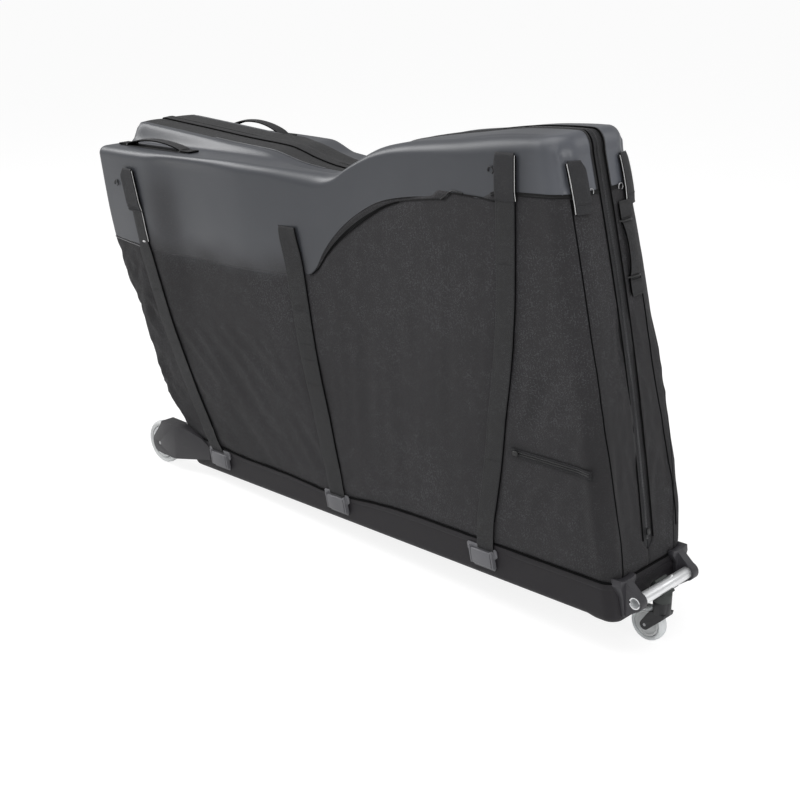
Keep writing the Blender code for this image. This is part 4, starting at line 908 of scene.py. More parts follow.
def makePanels():
    gap = bag["zipHalf"] + bag["seamGap"]
    grid = []
    for c in range(columnCount):
        x = edgeX(c)
        column = []
        for z in panelHeights(seamZ(wallPoint(c, bag["bandTop"])[0]), shellEdgeZ(x) + hair * (1 - fading(x))):
            apart = mix(hair, gap, ease((z - panel["openZ"]) / panel["openRun"]))
            column.append((*wallPoint(c, z, 0, apart, apart), z))
        grid.append(column)
    grid = np.array(grid).transpose(1, 0, 2)
    push = np.array([[clothPush(*point) for point in row] for row in grid])
    shaped = grid + gridNormals(grid) * push[:, :, None]
    soft = [[1 - fading(x) * (1 - clothShare(x, z)) for x, y, z in row] for row in grid]
    for side, name in sideName.items():
        obj = sheetPiece("sidePanel_" + name, shaped, side, panel["wall"], ["panel", "lining"], soft=soft)
        bendAtFold(obj, side, "woven_fabric", "side_panel_" + name, "lower_skirt")


# Moulded shells; shade, shadeX and shadeZ lay a painted shade down the hollow behind the wide end
shell = dict(wall=0.003, wallRows=44, arcRows=8, run=0.030, leastRun=0.020,
             topShares=[0.06, 0.13, 0.22, 0.32, 0.42, 0.50, 0.57, 0.62, 0.66, 0.69, 0.72, 0.75, 0.78,
                        0.81, 0.84, 0.87, 0.90, 0.93, 0.97, 1.0],
             shade=0.60, shadeX=(-0.470, 0.055), shadeZ=(0.712, 0.09),
             drop=0.017, dropX=(-0.26, -0.055, 0.09), dropY=(0.05, 0.05), dropZ=(0.64, 0.06))


def shellGrid():
    rearY, frontY = gussetHalf(-0.66), gussetHalf(0.50)
    wall, arcs, shares = shell["wallRows"], shell["arcRows"], shell["topShares"]
    grid = np.zeros((wall + 1 + arcs + len(shares), columnCount, 3))
    rim = []
    for c in range(columnCount):
        place = edgeX(c)
        rounding = shoulderRound(place)
        high = edgeZ(place) - rounding
        for r, z in enumerate(steps(shellEdgeZ(place), high, wall)):
            grid[r, c] = (*wallPoint(c, z, 0, rearY, frontY), z)
        rim.append(wallPoint(c, high, rounding, rearY, frontY))
    rim[0], rim[-1] = (rim[0][0], rearY), (rim[-1][0], frontY)
    start, end = rim[0][0] + shell["run"], rim[-1][0] - shell["run"]
    low, high = start + shell["leastRun"], end - shell["leastRun"]
    last = columnCount - 1
    for c, (rimX, rimY) in enumerate(rim):
        top = topZ(rimX, rimY)
        x, y, z = grid[wall, c]
        for r in range(1, arcs + 1):
            turn = math.pi / 2 * r / arcs
            share = 1 - math.cos(turn)
            grid[wall + r, c] = mix(x, rimX, share), mix(y, rimY, share), mix(z, top, math.sin(turn))
        if c < endColumns:
            goalX = mix(start, max(rim[endColumns][0], low), c / endColumns)
        elif c >= columnCount - endColumns:
            goalX = mix(min(rim[last - endColumns][0], high), end, (c - last + endColumns) / endColumns)
        else:
            goalX = min(max(rimX, low), high)
        for i, share in enumerate(shares):
            x, y = mix(rimX, goalX, share), mix(rimY, gussetHalf(goalX), share)
            grid[wall + arcs + 1 + i, c] = (x, y, topZ(x, y))
    return grid


def cornerTurn(column):     # degrees round the front corner, 0 elsewhere
    first = endColumns + columns["side"]
    return 90 * clamp((column - first + 1) / columns["corner"]) if column >= first else 0.0


def farDrop(x, y, z):     # the far shell's shoulder falls away behind the dip
    (lowY, runY), (lowZ, runZ) = shell["dropY"], shell["dropZ"]
    return shell["drop"] * between(x, *shell["dropX"]) * ease((y - lowY) / runY) * ease((z - lowZ) / runZ)


def makeShells():
    grid = shellGrid()
    push, soft = np.zeros(grid.shape[:2]), np.zeros(grid.shape[:2])
    shadeTop, shadeRun = shell["shadeZ"]
    for r, row in enumerate(grid):
        fade = 1 - ease((r - shell["wallRows"]) / shell["arcRows"])
        for c, (x, y, z) in enumerate(row):
            if fade > 0:
                push[r, c] = fade * shellPush(x, y, z, cornerTurn(c))
            # painted shade: a dark band down the side behind the wide end, carried in the soft share, which
            # turns the shell towards the cloth's dark tone
            dark = shell["shade"] * hill(x, *shell["shadeX"]) * ease((shadeTop - z) / shadeRun)
            soft[r, c] = max(fading(x) * clothShare(x, z), dark)
    shaped = grid + gridNormals(grid) * push[:, :, None]
    for side, name in sideName.items():
        if side == far:
            shaped[:, :, 2] -= [[farDrop(*point) for point in row] for row in grid]
        obj = sheetPiece("topShell_" + name, shaped, side, shell["wall"], ["shell", "lining"], soft=soft)
        carry(obj, name + "_half", "moulded_shell", "top_shell_" + name)
    return grid


makePanels()
shellPoints = makeShells()
print("panels and shells made")


# Trims at the shell's lower edge; under the arch a black ribbed trim lies in a real groove, its black a
# painted shadow of the shell's lip
archWidth = smoothCurve([(0.0, 0.0012), (0.10, 0.004), (0.28, 0.0085), (0.50, 0.0110), (0.68, 0.0085),
                         (0.86, 0.0048), (1.0, 0.0024)])
trim = dict(archX=(-0.066, 0.175), cordX=(-0.058, 0.168), cordLift=0.0017, cordRadius=0.0007,
            edgeX=(0.172, 0.386), edgeWidth=0.0022, zipY=0.0146, frontShare=0.905, frontRise=0.0010,
            frontDrop=0.0065, frontWall=0.0012, stitchDrop=0.003, stitchLift=0.0012, foldRadius=0.0011,
            fold=((0.268, -0.001), (0.278, 0.0035), (0.287, 0.0050), (0.297, 0.0030), (0.318, 0.0005)))


def edgeRibbon(name, side, spanX, widthAt, lift, thick, count=110):
    # a black ribbon laid on the cloth just under the shell's edge, along the side, as painted shadow of the
    # shell's lip
    rows = []
    for down in steps(0, 1, 4):
        row = []
        for share in steps(0, 1, count):
            x = mix(*spanX, share)
            row.append(wallSpot(x, shellEdgeZ(x) - hair - widthAt(share) * down, lift)[0])
        rows.append(row)
    obj = sheetPiece(name, rows, side, thick, ["trim"], outward=True)
    return carry(obj, halfOf[side], "woven_fabric")


def makeArch(side, name):
    edgeRibbon("archTrim_" + name, side, trim["archX"], archWidth, 0.0006, 0.0010)
    for rib in range(3):     # its raised cords
        line = []
        for share in steps(0, 1, 59):
            x = mix(*trim["cordX"], share)
            z = shellEdgeZ(x) - hair - archWidth(share) * (0.2 + 0.3 * rib)
            line.append(wallSpot(x, z, trim["cordLift"])[0])
        tubePiece("archCord_%s_%d" % (name, rib), side, "woven_fabric", line, trim["cordRadius"])
    edgeRibbon("archEdge_" + name, side, trim["edgeX"], lambda t: trim["edgeWidth"], 0.0003, 0.0008)
    line = [wallSpot(x, shellEdgeZ(x) + rise, 0.0010)[0] for x, rise in trim["fold"]]
    tubePiece("archFold_" + name, side, "woven_fabric", line, trim["foldRadius"], "dark")


def makeFrontTrim(side, name):
    rows = []
    for j in range(9):
        out = 0.0008 + 0.0012 * math.sin(math.pi * clamp((j - 4) / 4))     # its lower half is rolled
        row = []
        for c in range(endColumns + int(columns["side"] * trim["frontShare"]), columnCount):
            z = shellEdgeZ(edgeX(c)) + trim["frontRise"] - trim["frontDrop"] * j / 8
            row.append((*wallPoint(c, z, -out, trim["zipY"], trim["zipY"]), z))
        rows.append(row)
    carry(sheetPiece("frontTrim_" + name, rows, side, trim["frontWall"], ["trim"]), halfOf[side],
          "woven_fabric")


def sewRearEdge(side):
    spots = []
    for c in range(columns["end"], endColumns + 14):
        z = shellEdgeZ(edgeX(c)) - trim["stitchDrop"]
        place = Vector((*wallPoint(c, z, -trim["stitchLift"], trim["zipY"], trim["zipY"]), z))
        spots.append((place, Vector((-0.4, 0.9, 0)).normalized()))
    sew(spots, side, None, "paleThread", 0.0024)


# Strips and zip on the top
zipper = dict(pitch=0.0027, tooth=(0.0030, 0.0014, 0.0016), sink=0.0014, ends=0.016,
              tapeY=(0.0095, 0.005, 0.0006), tapeWall=0.0014, stripWall=0.0020, coverEndX=0.10, topZ=0.60,
              nearEdgeY=0.0128, farEdgeY=-0.0120, coverWide=0.034, coverX=(-0.33, -0.10, 0.09),
              crown=0.0012, overShell=0.0010, coverRise=0.0030,
              coverStitchY=0.0028, lineRadius=0.0013, pipeRadius=0.0010)


def innerEdge(grid):
    edge = np.concatenate([grid[:-1, 0], grid[-1], grid[:-1, -1][::-1]])
    kept = [edge[0]]
    for point in edge[1:]:
        if np.linalg.norm(point - kept[-1]) > 0.0004:
            kept.append(point)
    return np.array(kept)


def zipPath(edge):
    # from the fold at the rear up over the top to the fold at the front
    low = bag["foldZ"] + 0.001
    rear = [(rearX(z), 0.0, z) for z in np.linspace(low, edge[0][2], 60)[:-1]]
    front = [(frontX(z), 0.0, z) for z in np.linspace(edge[-1][2], low, 110)[1:]]
    return np.array(rear + [(x, 0.0, z) for x, y, z in edge] + front)


def pathWays(path):
    # outward from the bag's middle plane
    run = np.gradient(path, axis=0)
    way = np.stack([-run[:, 2], np.zeros(len(path)), run[:, 0]], axis=1)
    return way / np.linalg.norm(way, axis=1, keepdims=True)


def stripGrid(edge, side):
    rows = []
    for share in steps(0, 1, 16):
        row = []
        for x, y, z in edge:
            onTop = z > zipper["topZ"]
            covered = 1 - ease((x - zipper["coverEndX"] + 0.03) / 0.06) if onTop else 0.0
            coverEdge = zipper["nearEdgeY"] if side == near else zipper["farEdgeY"]
            outer = y - bag["seamGap"]
            if side == far and onTop:     # the cover runs out over the far shell
                outer += zipper["coverWide"] * between(x, *zipper["coverX"])
            across = mix(outer, mix(bag["zipHalf"] + bag["seamGap"], coverEdge, covered), share)
            rise = zipper["crown"] * math.sin(math.pi * share)
            if across > y:
                rise += zipper["overShell"] + topZ(x, across) - topZ(x, y)
            if side == far:
                rise += zipper["coverRise"] * covered * ease((0.020 - across) / 0.010) - farDrop(x, across, z)
            row.append((x, across, z + rise))
        rows.append(row)
    return rows


def makeStrips():
    edge = innerEdge(shellPoints)
    path = zipPath(edge)
    ways = pathWays(path)
    sunk = path - ways * zipper["sink"]
    strips = {side: stripGrid(edge, side) for side in (near, far)}
    for side, name in sideName.items():
        obj = sheetPiece("topStrip_" + name, strips[side], side, zipper["stripWall"], ["strip", "lining"])
        carry(obj, name + "_half", "woven_fabric", "top_strip_" + name)
        rows = [[(x, y, z) for x, _, z in sunk] for y in (bag["zipHalf"], *zipper["tapeY"])]
        obj = sheetPiece("zipTape_" + name, rows, side, zipper["tapeWall"], ["tape"])
        carry(obj, name + "_half", "zip", "zip_tape_" + name)
        line = [(x + 0.0014, trim["zipY"], z) for x, y, z in path if z > 0.121 and x > 0.30]
        tubePiece("zipLine_" + name, side, "zip", line, zipper["lineRadius"])     # its edge down the front
        makeTeeth(sunk, ways, side)
    spots = [(Vector((x, zipper["coverStitchY"], z)), Vector((0, 0, 1)))
             for x, y, z in strips[far][-6] if z > 0.69 and x < 0.06]
    sew(spots, far, None, "line", 0.0028)
    # painted shadow: a black bead under the far strip's covering edge
    line = [(x, y - 0.0002, z - 0.0012) for x, y, z in strips[far][-1] if z > 0.69 and x < 0.05]
    tubePiece("coverLine", far, "woven_fabric", line, zipper["lineRadius"])
    line = [(x, y, z + 0.0004) for x, y, z in strips[near][0] if z > 0.69 and -0.42 < x < -0.10]
    tubePiece("stripPiping", near, "woven_fabric", line, zipper["pipeRadius"], "piping")


def makeTeeth(path, ways, side):
    run = runAlong(path)
    wide, long, high = zipper["tooth"]
    verts = []
    start = zipper["ends"] + (zipper["pitch"] / 2 if side == far else 0.0)
    for place in np.arange(start, run[-1] - zipper["ends"], zipper["pitch"]):
        at, way = [np.array([np.interp(place, run, line[:, k]) for k in range(3)]) for line in (path, ways)]
        if at[0] < zipper["coverEndX"] - 0.02 and at[2] > 0.66:
            continue     # hidden under the cover
        along = np.array((way[2], 0.0, -way[0]))
        for share, height in ((1.0, 0.0), (0.6, high)):
            for l, w in ((-1, 0), (1, 0), (1, 1), (-1, 1)):
                x, y, z = at + along * (l * long / 2 * share) + way * height
                verts.append(toWorld((x, mix(-0.0006, wide, 0.5 + (w - 0.5) * share), z), side))
    boxesPiece("zipTeeth_" + sideName[side], verts, "teeth", halfOf[side], "zip", side == near)


for side, name in sideName.items():
    makeArch(side, name)
    makeFrontTrim(side, name)
    sewRearEdge(side)
makeStrips()
print("trims, strips and zip made")


# Base
base = dict(wall=0.003, steps=14, hemLow=0.0600, hemProud=0.0004, groove=0.0003, footDrop=0.0032,
            footX=(0.595, 0.655, 0.012), plainZ=0.030, lineRadius=0.0020, lineWander=0.0005, sewnFromX=0.42,
            stitchDrop=0.0045)


def baseLevel(z):
    # how far the band stands out at a height: a folded hem at its top edge
    hem = between(z, base["hemLow"], bag["bandTop"] - 0.0006, 0.0022)
    return base["hemProud"] * hem - base["groove"] * hill(z, base["hemLow"] - 0.0016, 0.0012)


def bandLevels():
    # (height, inset) of each row, from the underside up to the band's top edge
    roundness, hemStart = bag["undersideRound"], base["hemLow"] - 0.004
    turns = [math.radians(angle) for angle in range(90, -1, -15)]
    straight = steps(roundness, hemStart, 8)[1:] + steps(hemStart, bag["bandTop"], base["steps"])[1:]
    return ([(0.0, 0.055), (0.0, 0.030)]
            + [(roundness * (1 - math.sin(t)), roundness * (1 - math.cos(t))) for t in turns]
            + [(z, 0.0) for z in straight])


def makeBase():
    top, plainZ = bag["bandTop"], base["plainZ"]
    rows = []
    for z, inset in bandLevels():
        half = []
        for c in range(columnCount):
            x, y = wallPoint(c, z, inset - baseLevel(z))
            foot = between(x, *base["footX"]) * ease((y - 0.045) / 0.01)
            high = z if z < plainZ else mix(plainZ, seamZ(x), (z - plainZ) / (top - plainZ))
            half.append((x, y, high - base["footDrop"] * foot * (1 - ease(z / 0.022))))
        rows.append([(x, -y, z) for x, y, z in half] + [(x, y, z) for x, y, z in reversed(half)][1:-1])
    obj = sheetPiece("baseBand", rows, far, base["wall"], ["band", "lining"], closed=True, cap=True)
    carry(obj, "base", "coated_band", "base_tray")
    for side, name in sideName.items():
        line, spots = [], []
        for c in range(columnCount):
            x, y = wallPoint(c, top, 0.0006)
            wander = base["lineWander"] * waves(x / 0.02, y / 0.02, 6.6)
            line.append((x, y, seamZ(x) + 0.0004 + wander))
            if x > base["sewnFromX"] and c < columnCount - columns["end"]:
                x, y = wallPoint(c, top, -base["hemProud"])
                beyondX, beyondY = wallPoint(c, top, -0.01)
                way = Vector((beyondX - x, beyondY - y, 0)).normalized()
                spots.append((Vector((x, y, seamZ(x) - base["stitchDrop"])), way))
        # painted shadow: a black bead where the cloth meets the band's top edge
        tubePiece("bandLine_" + name, side, "coated_band", line, base["lineRadius"], body="base")
        sew(spots, side, "base", "thread", 0.0030)


makeBase()
print("base made")


# Straps, tabs and handles
tab = dict(thick=0.0024, stand=0.0030, rear=(0.592, 0.684, 0.043), front=(0.706, 0.786, 0.040),
           acrosses=(-0.5, -0.46, -0.3, 0.0, 0.3, 0.46, 0.5))
rivet = dict(z=0.527, across=0.10, lift=0.0020, half=(0.0052, 0.0018, 0.0022))
hook = dict(reach=0.006, angles=(-60, 210), lift=0.0022, radius=0.0012, rear=(-0.6165, 0.6475),
            front=(0.3785, 0.755))


def makeStrap(i, side):
    key = straps["names"][i] + "_" + sideName[side]
    line, width, head, thick = straps["lines"][i], straps["widths"][i], straps["topZ"][i], straps["thick"]
    letIn = straps["names"][i] == "middle"     # its upper end is let into the side

    def spot(z, across):
        x = line(z) + across * width(z)
        y = halfWidth(x, z)
        lift = straps["lift"] - straps["edgeSink"] * ease((-across * 2 - 0.70) / 0.30)
        if letIn:
            lift -= straps["letIn"] * ease((z - head + 0.030) / 0.030) * (1.0 - 0.8 * ease(across + 0.5))
            lift += straps["letInRise"] * ease((across - 0.1) / 0.4) * hill(z, head - 0.012, 0.030)
        lift += straps["ripple"] * waves(x / 0.03, z / 0.012, 3.3 + i)
        lift += shellPush(x, y, z) if z > shellEdgeZ(x) else hollowPush(x, y, z)
        way = wallSpot(x, z)[1]
        return Vector((x, y, z)) + way * lift, way
    upright = steps(bendHigh, head, 90)
    alongs = steps(straps["buckleTopZ"], bendLow, 6)[:-1] + steps(bendLow, bendHigh, 8)[:-1] + upright
    acrosses = [-0.5, -0.47, -0.40, -0.25, 0.0, 0.25, 0.40, 0.47, 0.5]
    ribbonPiece("strap_" + key, side, spot, alongs, acrosses, thick, "webbing", replaced=["strap_" + key],
                bends=True)
    for z in straps["tacks"][i]:
        sew(raised([spot(z, across) for across in steps(-0.42, 0.42, 20)], thick), side)
    for edge in (-0.44, 0.44):
        sew(raised([spot(z, edge) for z in upright], thick), side, None, "thread", 0.0026)
    # painted shadow: a black bead in the gap under the strap's front edge
    edge = raised([spot(z, 0.5) for z in upright], 0.0002)     # the dark gap under its front edge
    points = [place + Vector((0.0006, 0, 0)) for place in justPlaces(edge)]
    tubePiece("strapLine_" + key, side, "webbing", points, straps["lineRadius"][i])
    return spot


def edgeCord(key, spot, low, high, side, edge, radius):
    # a pale cord along one edge as painted highlight, and a dark one outside it as painted shadow
    for name, shift, lift, thick, material in (("pale", 0.0013, 0.0010, radius, "cord"),
                                               ("dark", 0.0030, -0.0002, radius * 1.5, "line")):
        points = []
        for along in steps(low, high, 30):
            place, way = spot(along, edge)
            across = (place - spot(along, 0.0)[0]).normalized()
            points.append(place + across * shift + way * lift)
        tubePiece("%sCord_%s" % (name, key), side, "webbing", points, thick, material)


def makeStrapTab(which, side, spotOfStrap):
    # the folded loop that the strap hangs from, standing a little off the shell
    key = which + "_" + sideName[side]
    lowZ, highZ, wide = tab[which]
    line, width = (straps[what][straps["names"].index(which)] for what in ("lines", "widths"))
    rear = which == "rear"

    def spot(z, across):
        share = (z - lowZ) / (highZ - lowZ)
        corner = ease((share - 0.80) / 0.20) * (0.30 if rear else 0.06)
        x = line(z) + width(z) / 2 - wide * (0.5 - across) * (1 - corner * (0.5 - across))
        stand = tab["stand"] * ease(share / 0.25) * ease((1.04 - share) / 0.10)
        return wallSpot(x, z, straps["lift"] + stand)
    ribbonPiece("strapTab_" + key, side, spot, steps(lowZ, highZ, 24), tab["acrosses"], tab["thick"], "tab")
    edgeCord(key, spot, lowZ + 0.002, highZ - 0.003, side, 0.5, 0.0007 if rear else 0.0006)
    if rear:     # hemmed at its foot, and its cord runs on down beside the strap to a rivet
        for number, height in enumerate((lowZ + 0.003, lowZ + 0.010)):
            hem = raised([spot(height, across) for across in steps(-0.5, 0.5, 12)], tab["thick"])
            tubePiece("tabHem_%s_%d" % (key, number), side, "webbing", justPlaces(hem), 0.0014, "tab")
        # its painted highlight and painted shadow lines run on down beside the strap to a rivet
        edgeCord(key + "_low", spotOfStrap, 0.528, lowZ, side, 0.5, 0.0008)
        [(place, way)] = raised([spotOfStrap(rivet["z"], rivet["across"])], rivet["lift"])
        bpy.ops.mesh.primitive_uv_sphere_add(segments=20, ring_count=10, radius=1.0)
        ball = bpy.context.active_object
        ball.name = "strapRivet_" + sideName[side]
        ball.data.transform(Matrix.Translation(toWorld(place, side)) @ Matrix.Diagonal((*rivet["half"], 1.0)))
        ball.data.shade_smooth()
        ball.data.materials.append(paint["cord"])
        carry(ball, halfOf[side], "steel")


def makeHook(name, side, spot, across, material="dark"):
    # a small open hook of bent wire beside a tab
    place, way = spot
    points = []
    for angle in steps(*hook["angles"], 12):
        turn = math.radians(angle)
        points.append(place + (across * math.cos(turn) + Vector((0, 0, math.sin(turn)))) * hook["reach"]
                      + way * hook["lift"])
    tubePiece(name, side, "webbing", points, hook["radius"], material)


def makeStraps(side, name):
    spots = [makeStrap(i, side) for i in range(3)]
    makeStrapTab("rear", side, spots[0])
    makeStrapTab("front", side, spots[2])
    for place in ("rear", "front"):
        makeHook("strapHook_%s_%s" % (place, name), side, wallSpot(*hook[place]), Vector((1, 0, 0)))


corner = dict(near=(0.0625, 0.6965, 0.5), far=(0.066, 0.6945, -0.5), width=0.029, length=0.079, thick=0.0028,
              lift=0.0022, stand=0.0030)


def makeCornerTab(side, name):
    middleY, footZ, outer = corner[name]     # outer: the edge towards the near side, which has the cord
    headZ = footZ + corner["length"]

    def spot(z, across):
        share = (z - footZ) / corner["length"]
        rounding = 0.24 * ease((share - 0.80) / 0.20)
        reach = (across - outer) * (1 - rounding * abs(across - outer)) + outer
        lift = corner["lift"] + corner["stand"] * math.sin(math.pi * clamp(share)) ** 0.6
        return frontSpot(middleY + reach * corner["width"], z, lift)
    ribbonPiece("cornerTab_" + name, side, spot, steps(footZ - 0.006, headZ, 26), tab["acrosses"],
                corner["thick"], "tab", replaced=["corner_tab_" + name])
    # painted highlight and painted shadow lines along its outer edge
    edgeCord("corner_" + name, spot, footZ - 0.004, headZ - 0.003, side, outer, 0.0009)
    hem = raised([spot(footZ + 0.010, across) for across in steps(-0.5, 0.5, 12)], 0.0024)
    tubePiece("cornerHem_" + name, side, "webbing", justPlaces(hem), 0.0013, "tab")
    beside = frontSpot(middleY - 0.024, footZ + 0.026)
    makeHook("cornerHook_" + name, side, beside, Vector((0, 1, 0)), "steel")


def arch(share, flat=0.12, power=0.7):
    if share <= flat or share >= 1 - flat:
        return 0.0
    return math.sin(math.pi * (share - flat) / (1 - 2 * flat)) ** power


handleAcrosses = (-0.5, -0.44, -0.28, 0.0, 0.28, 0.44, 0.5)
carryHandle = dict(rearX=-0.648, frontX=-0.400, y=0.134, width=0.025, thick=0.0032, gap=0.0009,
                   rise=dict(near=0.0155, far=0.0255), dish=0.0022, ends=((0.01, 0.10), (0.90, 0.99)),
                   sewnAcross=0.38, patchInset=0.012, patchHalf=0.016, loops=(0.125, 0.875), loopHalf=0.62,
                   loopRise=0.0048, loopRadius=0.0016)
grab = dict(y=0.040, footZ=0.544, topZ=0.694, width=0.025, thick=0.0034, gap=0.0012, rise=0.0085, dish=0.002,
            patches=((0.0, 0.17, 0.19), (0.83, 1.0, 0.81)), patchWidth=0.031, patchLift=0.0050,
            patchThick=0.0016, loopHalf=0.66, loopLift=0.001, loopRise=0.0052, loopRadius=0.0018)


def makeCarryHandle(side, name):
    up = Vector((0, 0, 1))
    rearX, frontX, middleY = carryHandle["rearX"], carryHandle["frontX"], carryHandle["y"]

    def spot(share, across):
        pinch = 1 - 0.25 * arch(share, 0.16, 1.0)
        place = topSpot(mix(rearX, frontX, share), middleY - across * carryHandle["width"] * pinch)[0]
        stand = carryHandle["rise"][name] - carryHandle["dish"] * (2 * across) ** 2
        return place + up * (carryHandle["gap"] + stand * arch(share)), up
    ribbonPiece("carryHandle_" + name, side, spot, steps(0, 1, 60), handleAcrosses, carryHandle["thick"],
                "webbing", replaced=["carry_handle_" + name])
    out = carryHandle["sewnAcross"]
    for first, last in carryHandle["ends"]:     # a box and a cross at each end
        a, b, c, d = (first, -out), (last, -out), (last, out), (first, out)
        for start, end in ((a, b), (b, c), (c, d), (d, a), (a, c), (d, b)):
            route = [spot(mix(start[0], end[0], t), mix(start[1], end[1], t)) for t in steps(0, 1, 8)]
            sew(raised(route, carryHandle["thick"] + 0.0001), side, None, "thread", 0.0026)
    # painted shadow: a thin black sheet under the handle
    inset, half = carryHandle["patchInset"], carryHandle["patchHalf"]
    rows = [[topSpot(x, middleY + w * half, 0.0003)[0] for w in (-1, 0, 1)]
            for x in steps(rearX + inset, frontX - inset, 30)]
    obj = sheetPiece("handlePatch_" + name, rows, side, 0.0006, ["trim"], outward=True)
    carry(obj, halfOf[side], "webbing")
    for end, share in enumerate(carryHandle["loops"]):     # black loops that hold its ends down
        loop = []
        for across in steps(-carryHandle["loopHalf"], carryHandle["loopHalf"], 12):
            rise = carryHandle["loopRise"] * (1 - (across / carryHandle["loopHalf"]) ** 6)
            place = topSpot(mix(rearX, frontX, share), middleY + across * carryHandle["width"])[0]
            loop.append(place + up * rise)
        tubePiece("handleLoop_%s_%d" % (name, end), side, "webbing", loop, carryHandle["loopRadius"], "dark",
                  sides=3)


def makeGrabHandle():
    def spot(share, across):
        pinch = 1 - 0.2 * arch(share, 0.2, 1.0)
        z = mix(grab["footZ"], grab["topZ"], share)
        place, way = frontSpot(grab["y"] + across * grab["width"] * pinch, z)
        lift = grab["gap"] + grab["rise"] * arch(share, 0.2, 0.6)
        return place + way * (lift - grab["dish"] * (2 * across) ** 2 * arch(share, 0.2, 1.0)), way

    def patchSpot(share, across):
        z = mix(grab["footZ"] - 0.004, grab["topZ"] + 0.004, share)
        return frontSpot(grab["y"] + across * grab["patchWidth"], z, grab["patchLift"])
    ribbonPiece("grabHandle", far, spot, steps(0, 1, 60), handleAcrosses, grab["thick"], "webbing",
                replaced=["grab_handle"])
    for number, (low, high, loopShare) in enumerate(grab["patches"]):
        ribbonPiece("grabPatch_%d" % number, far, patchSpot, steps(low, high, 8),
                    (-0.5, -0.45, 0.0, 0.45, 0.5), grab["patchThick"], "webbing")
        z = mix(grab["footZ"], grab["topZ"], loopShare)
        loop = []
        for across in steps(-grab["loopHalf"], grab["loopHalf"], 12):
            out = grab["loopLift"] + grab["loopRise"] * (1 - (across / grab["loopHalf"]) ** 6)
            loop.append(frontSpot(grab["y"] + across * grab["width"], z, out)[0])
        tubePiece("grabLoop_%d" % number, far, "webbing", loop, grab["loopRadius"], "dark", sides=3)
        for height in (low + 0.025, high - 0.025):
            sew(raised([patchSpot(height, across) for across in steps(-0.40, 0.40, 10)], 0.0017), far)


for side, name in sideName.items():
    makeStraps(side, name)
    makeCornerTab(side, name)
    makeCarryHandle(side, name)
makeGrabHandle()
print("straps, tabs and handles made")


# Seams: thin dark beads down the corners
seam = dict(radius=0.0013, lift=dict(near=0.0002, far=-0.0008), faceRadius=0.0012, headZ=0.716,
            turn=smoothCurve([(0.07, 100), (0.098, 100), (0.13, 98.5), (0.20, 80.5), (0.269, 70), (0.369, 61),
                              (0.528, 58.7), (0.722, 55)]))


def makeSeams():
    low = bendHigh + 0.001
    footHeights = steps(0.073, 0.093, 4) + steps(bendLow, bendHigh, 8) + [low]
    for side, name in sideName.items():
        for piece, heights, bends in (("cornerSeam_", steps(low, seam["headZ"], 89), False),
                                      ("cornerSeamFoot_", footHeights, True)):
            points = [cornerSpot(seam["turn"](z), z, seam["lift"][name])[0] for z in heights]
            tubePiece(piece + name, side, "woven_fabric", points, seam["radius"], bends=bends)
    points = []
    for z in steps(0.120, 0.62, 59):
        radius = cornerRadius(z, bag["frontCorner"])
        points.append(frontSpot(halfWidth(frontX(z) - radius, z) - radius + 0.002, z, 0.0003)[0])
    tubePiece("faceSeam_far", far, "woven_fabric", points, seam["faceRadius"])


makeSeams()


# Pocket zip
pocket = dict(rearX=0.428, frontX=0.598, z=0.266, width=0.014, lift=0.0012, thick=0.0009, coilRadius=0.0011)


def makePocket():
    def spot(x, across):
        return wallSpot(x, pocket["z"] + across * pocket["width"], pocket["lift"])
    rear, front = pocket["rearX"], pocket["frontX"]
    xs = steps(rear - 0.004, front + 0.004, 30)
    ribbonPiece("pocketTape", near, spot, xs, (-0.5, -0.4, -0.12, 0.0, 0.12, 0.4, 0.5), pocket["thick"],
                "tape", "zip", ["pocket_zip"])
    for row, across in enumerate((-0.13, 0.13)):
        line = raised([spot(x, across) for x in xs[1:-1]], 0.0012)
        tubePiece("pocketCoil_%d" % row, near, "zip", justPlaces(line), pocket["coilRadius"], "dark")
    routes = [[spot(x, across) for x in xs] for across in (-0.42, 0.42)]
    routes += [[spot(x, across) for across in steps(-0.45, 0.45, 6)] for x in (rear - 0.003, front + 0.003)]
    for route in routes:
        sew(raised(route, pocket["thick"]), near)


makePocket()
finishSewing()
print("pocket made")


# Rigid parts, from the frame's own solids with their edges eased
rigid = dict(     # the piece's name, its paint, its slot and the width of its eased edges, by node
    roller_housing=("rollerHousing", "housing", "bracket_plastic", 0.0012),
    bar_bracket=("barBracket", "bracket", "bracket_plastic", 0.0010),
    roller_hub=("rollerHub", "hub", "hub_plastic", 0.0004),
    roller_tread=("rollerTread", "paleTread", "soft_tread", 0.0008),
    roller_axle=("rollerAxle", "steel", "steel", 0.0004),
    buckle_plate=("bucklePlate", "buckle", "buckle_plastic", 0.0005),
    lever=("camLever", "buckle", "buckle_plastic", 0.0004),
    side_rod=("sideRod", "rod", "glass_rod", 0.0006),
    pull_bar=("pullBar", "bar", "aluminium", 0.0004),
    caster_clip=("casterClip", "clip", "clip_plastic", 0.0008),
    caster_fork=("casterFork", "fork", "fork_plastic", 0.0006),
    caster_hub=("casterHub", "hub", "hub_plastic", 0.0004),
    caster_tread=("casterTread", "tread", "soft_tread", 0.0008),
    caster_axle=("casterAxle", "steel", "steel", 0.0003),
    base_board=("baseBoard", "board", "base_board", 0.0010),
    frame_strap=("frameStrap", "webbing", "webbing", 0.0003),
    main_slider=("mainSlider", "dark", "steel", 0.0004),
    pocket_slider=("pocketSlider", "dark", "steel", 0.0006))
skew = dict(slope=0.20, level=toWorld((0, 0, 0.040)).z, leverWidth=0.97)
bodyOf = {node: body for body, members in frame["record"]["behaviour"]["bodies"].items()
          for node in members}


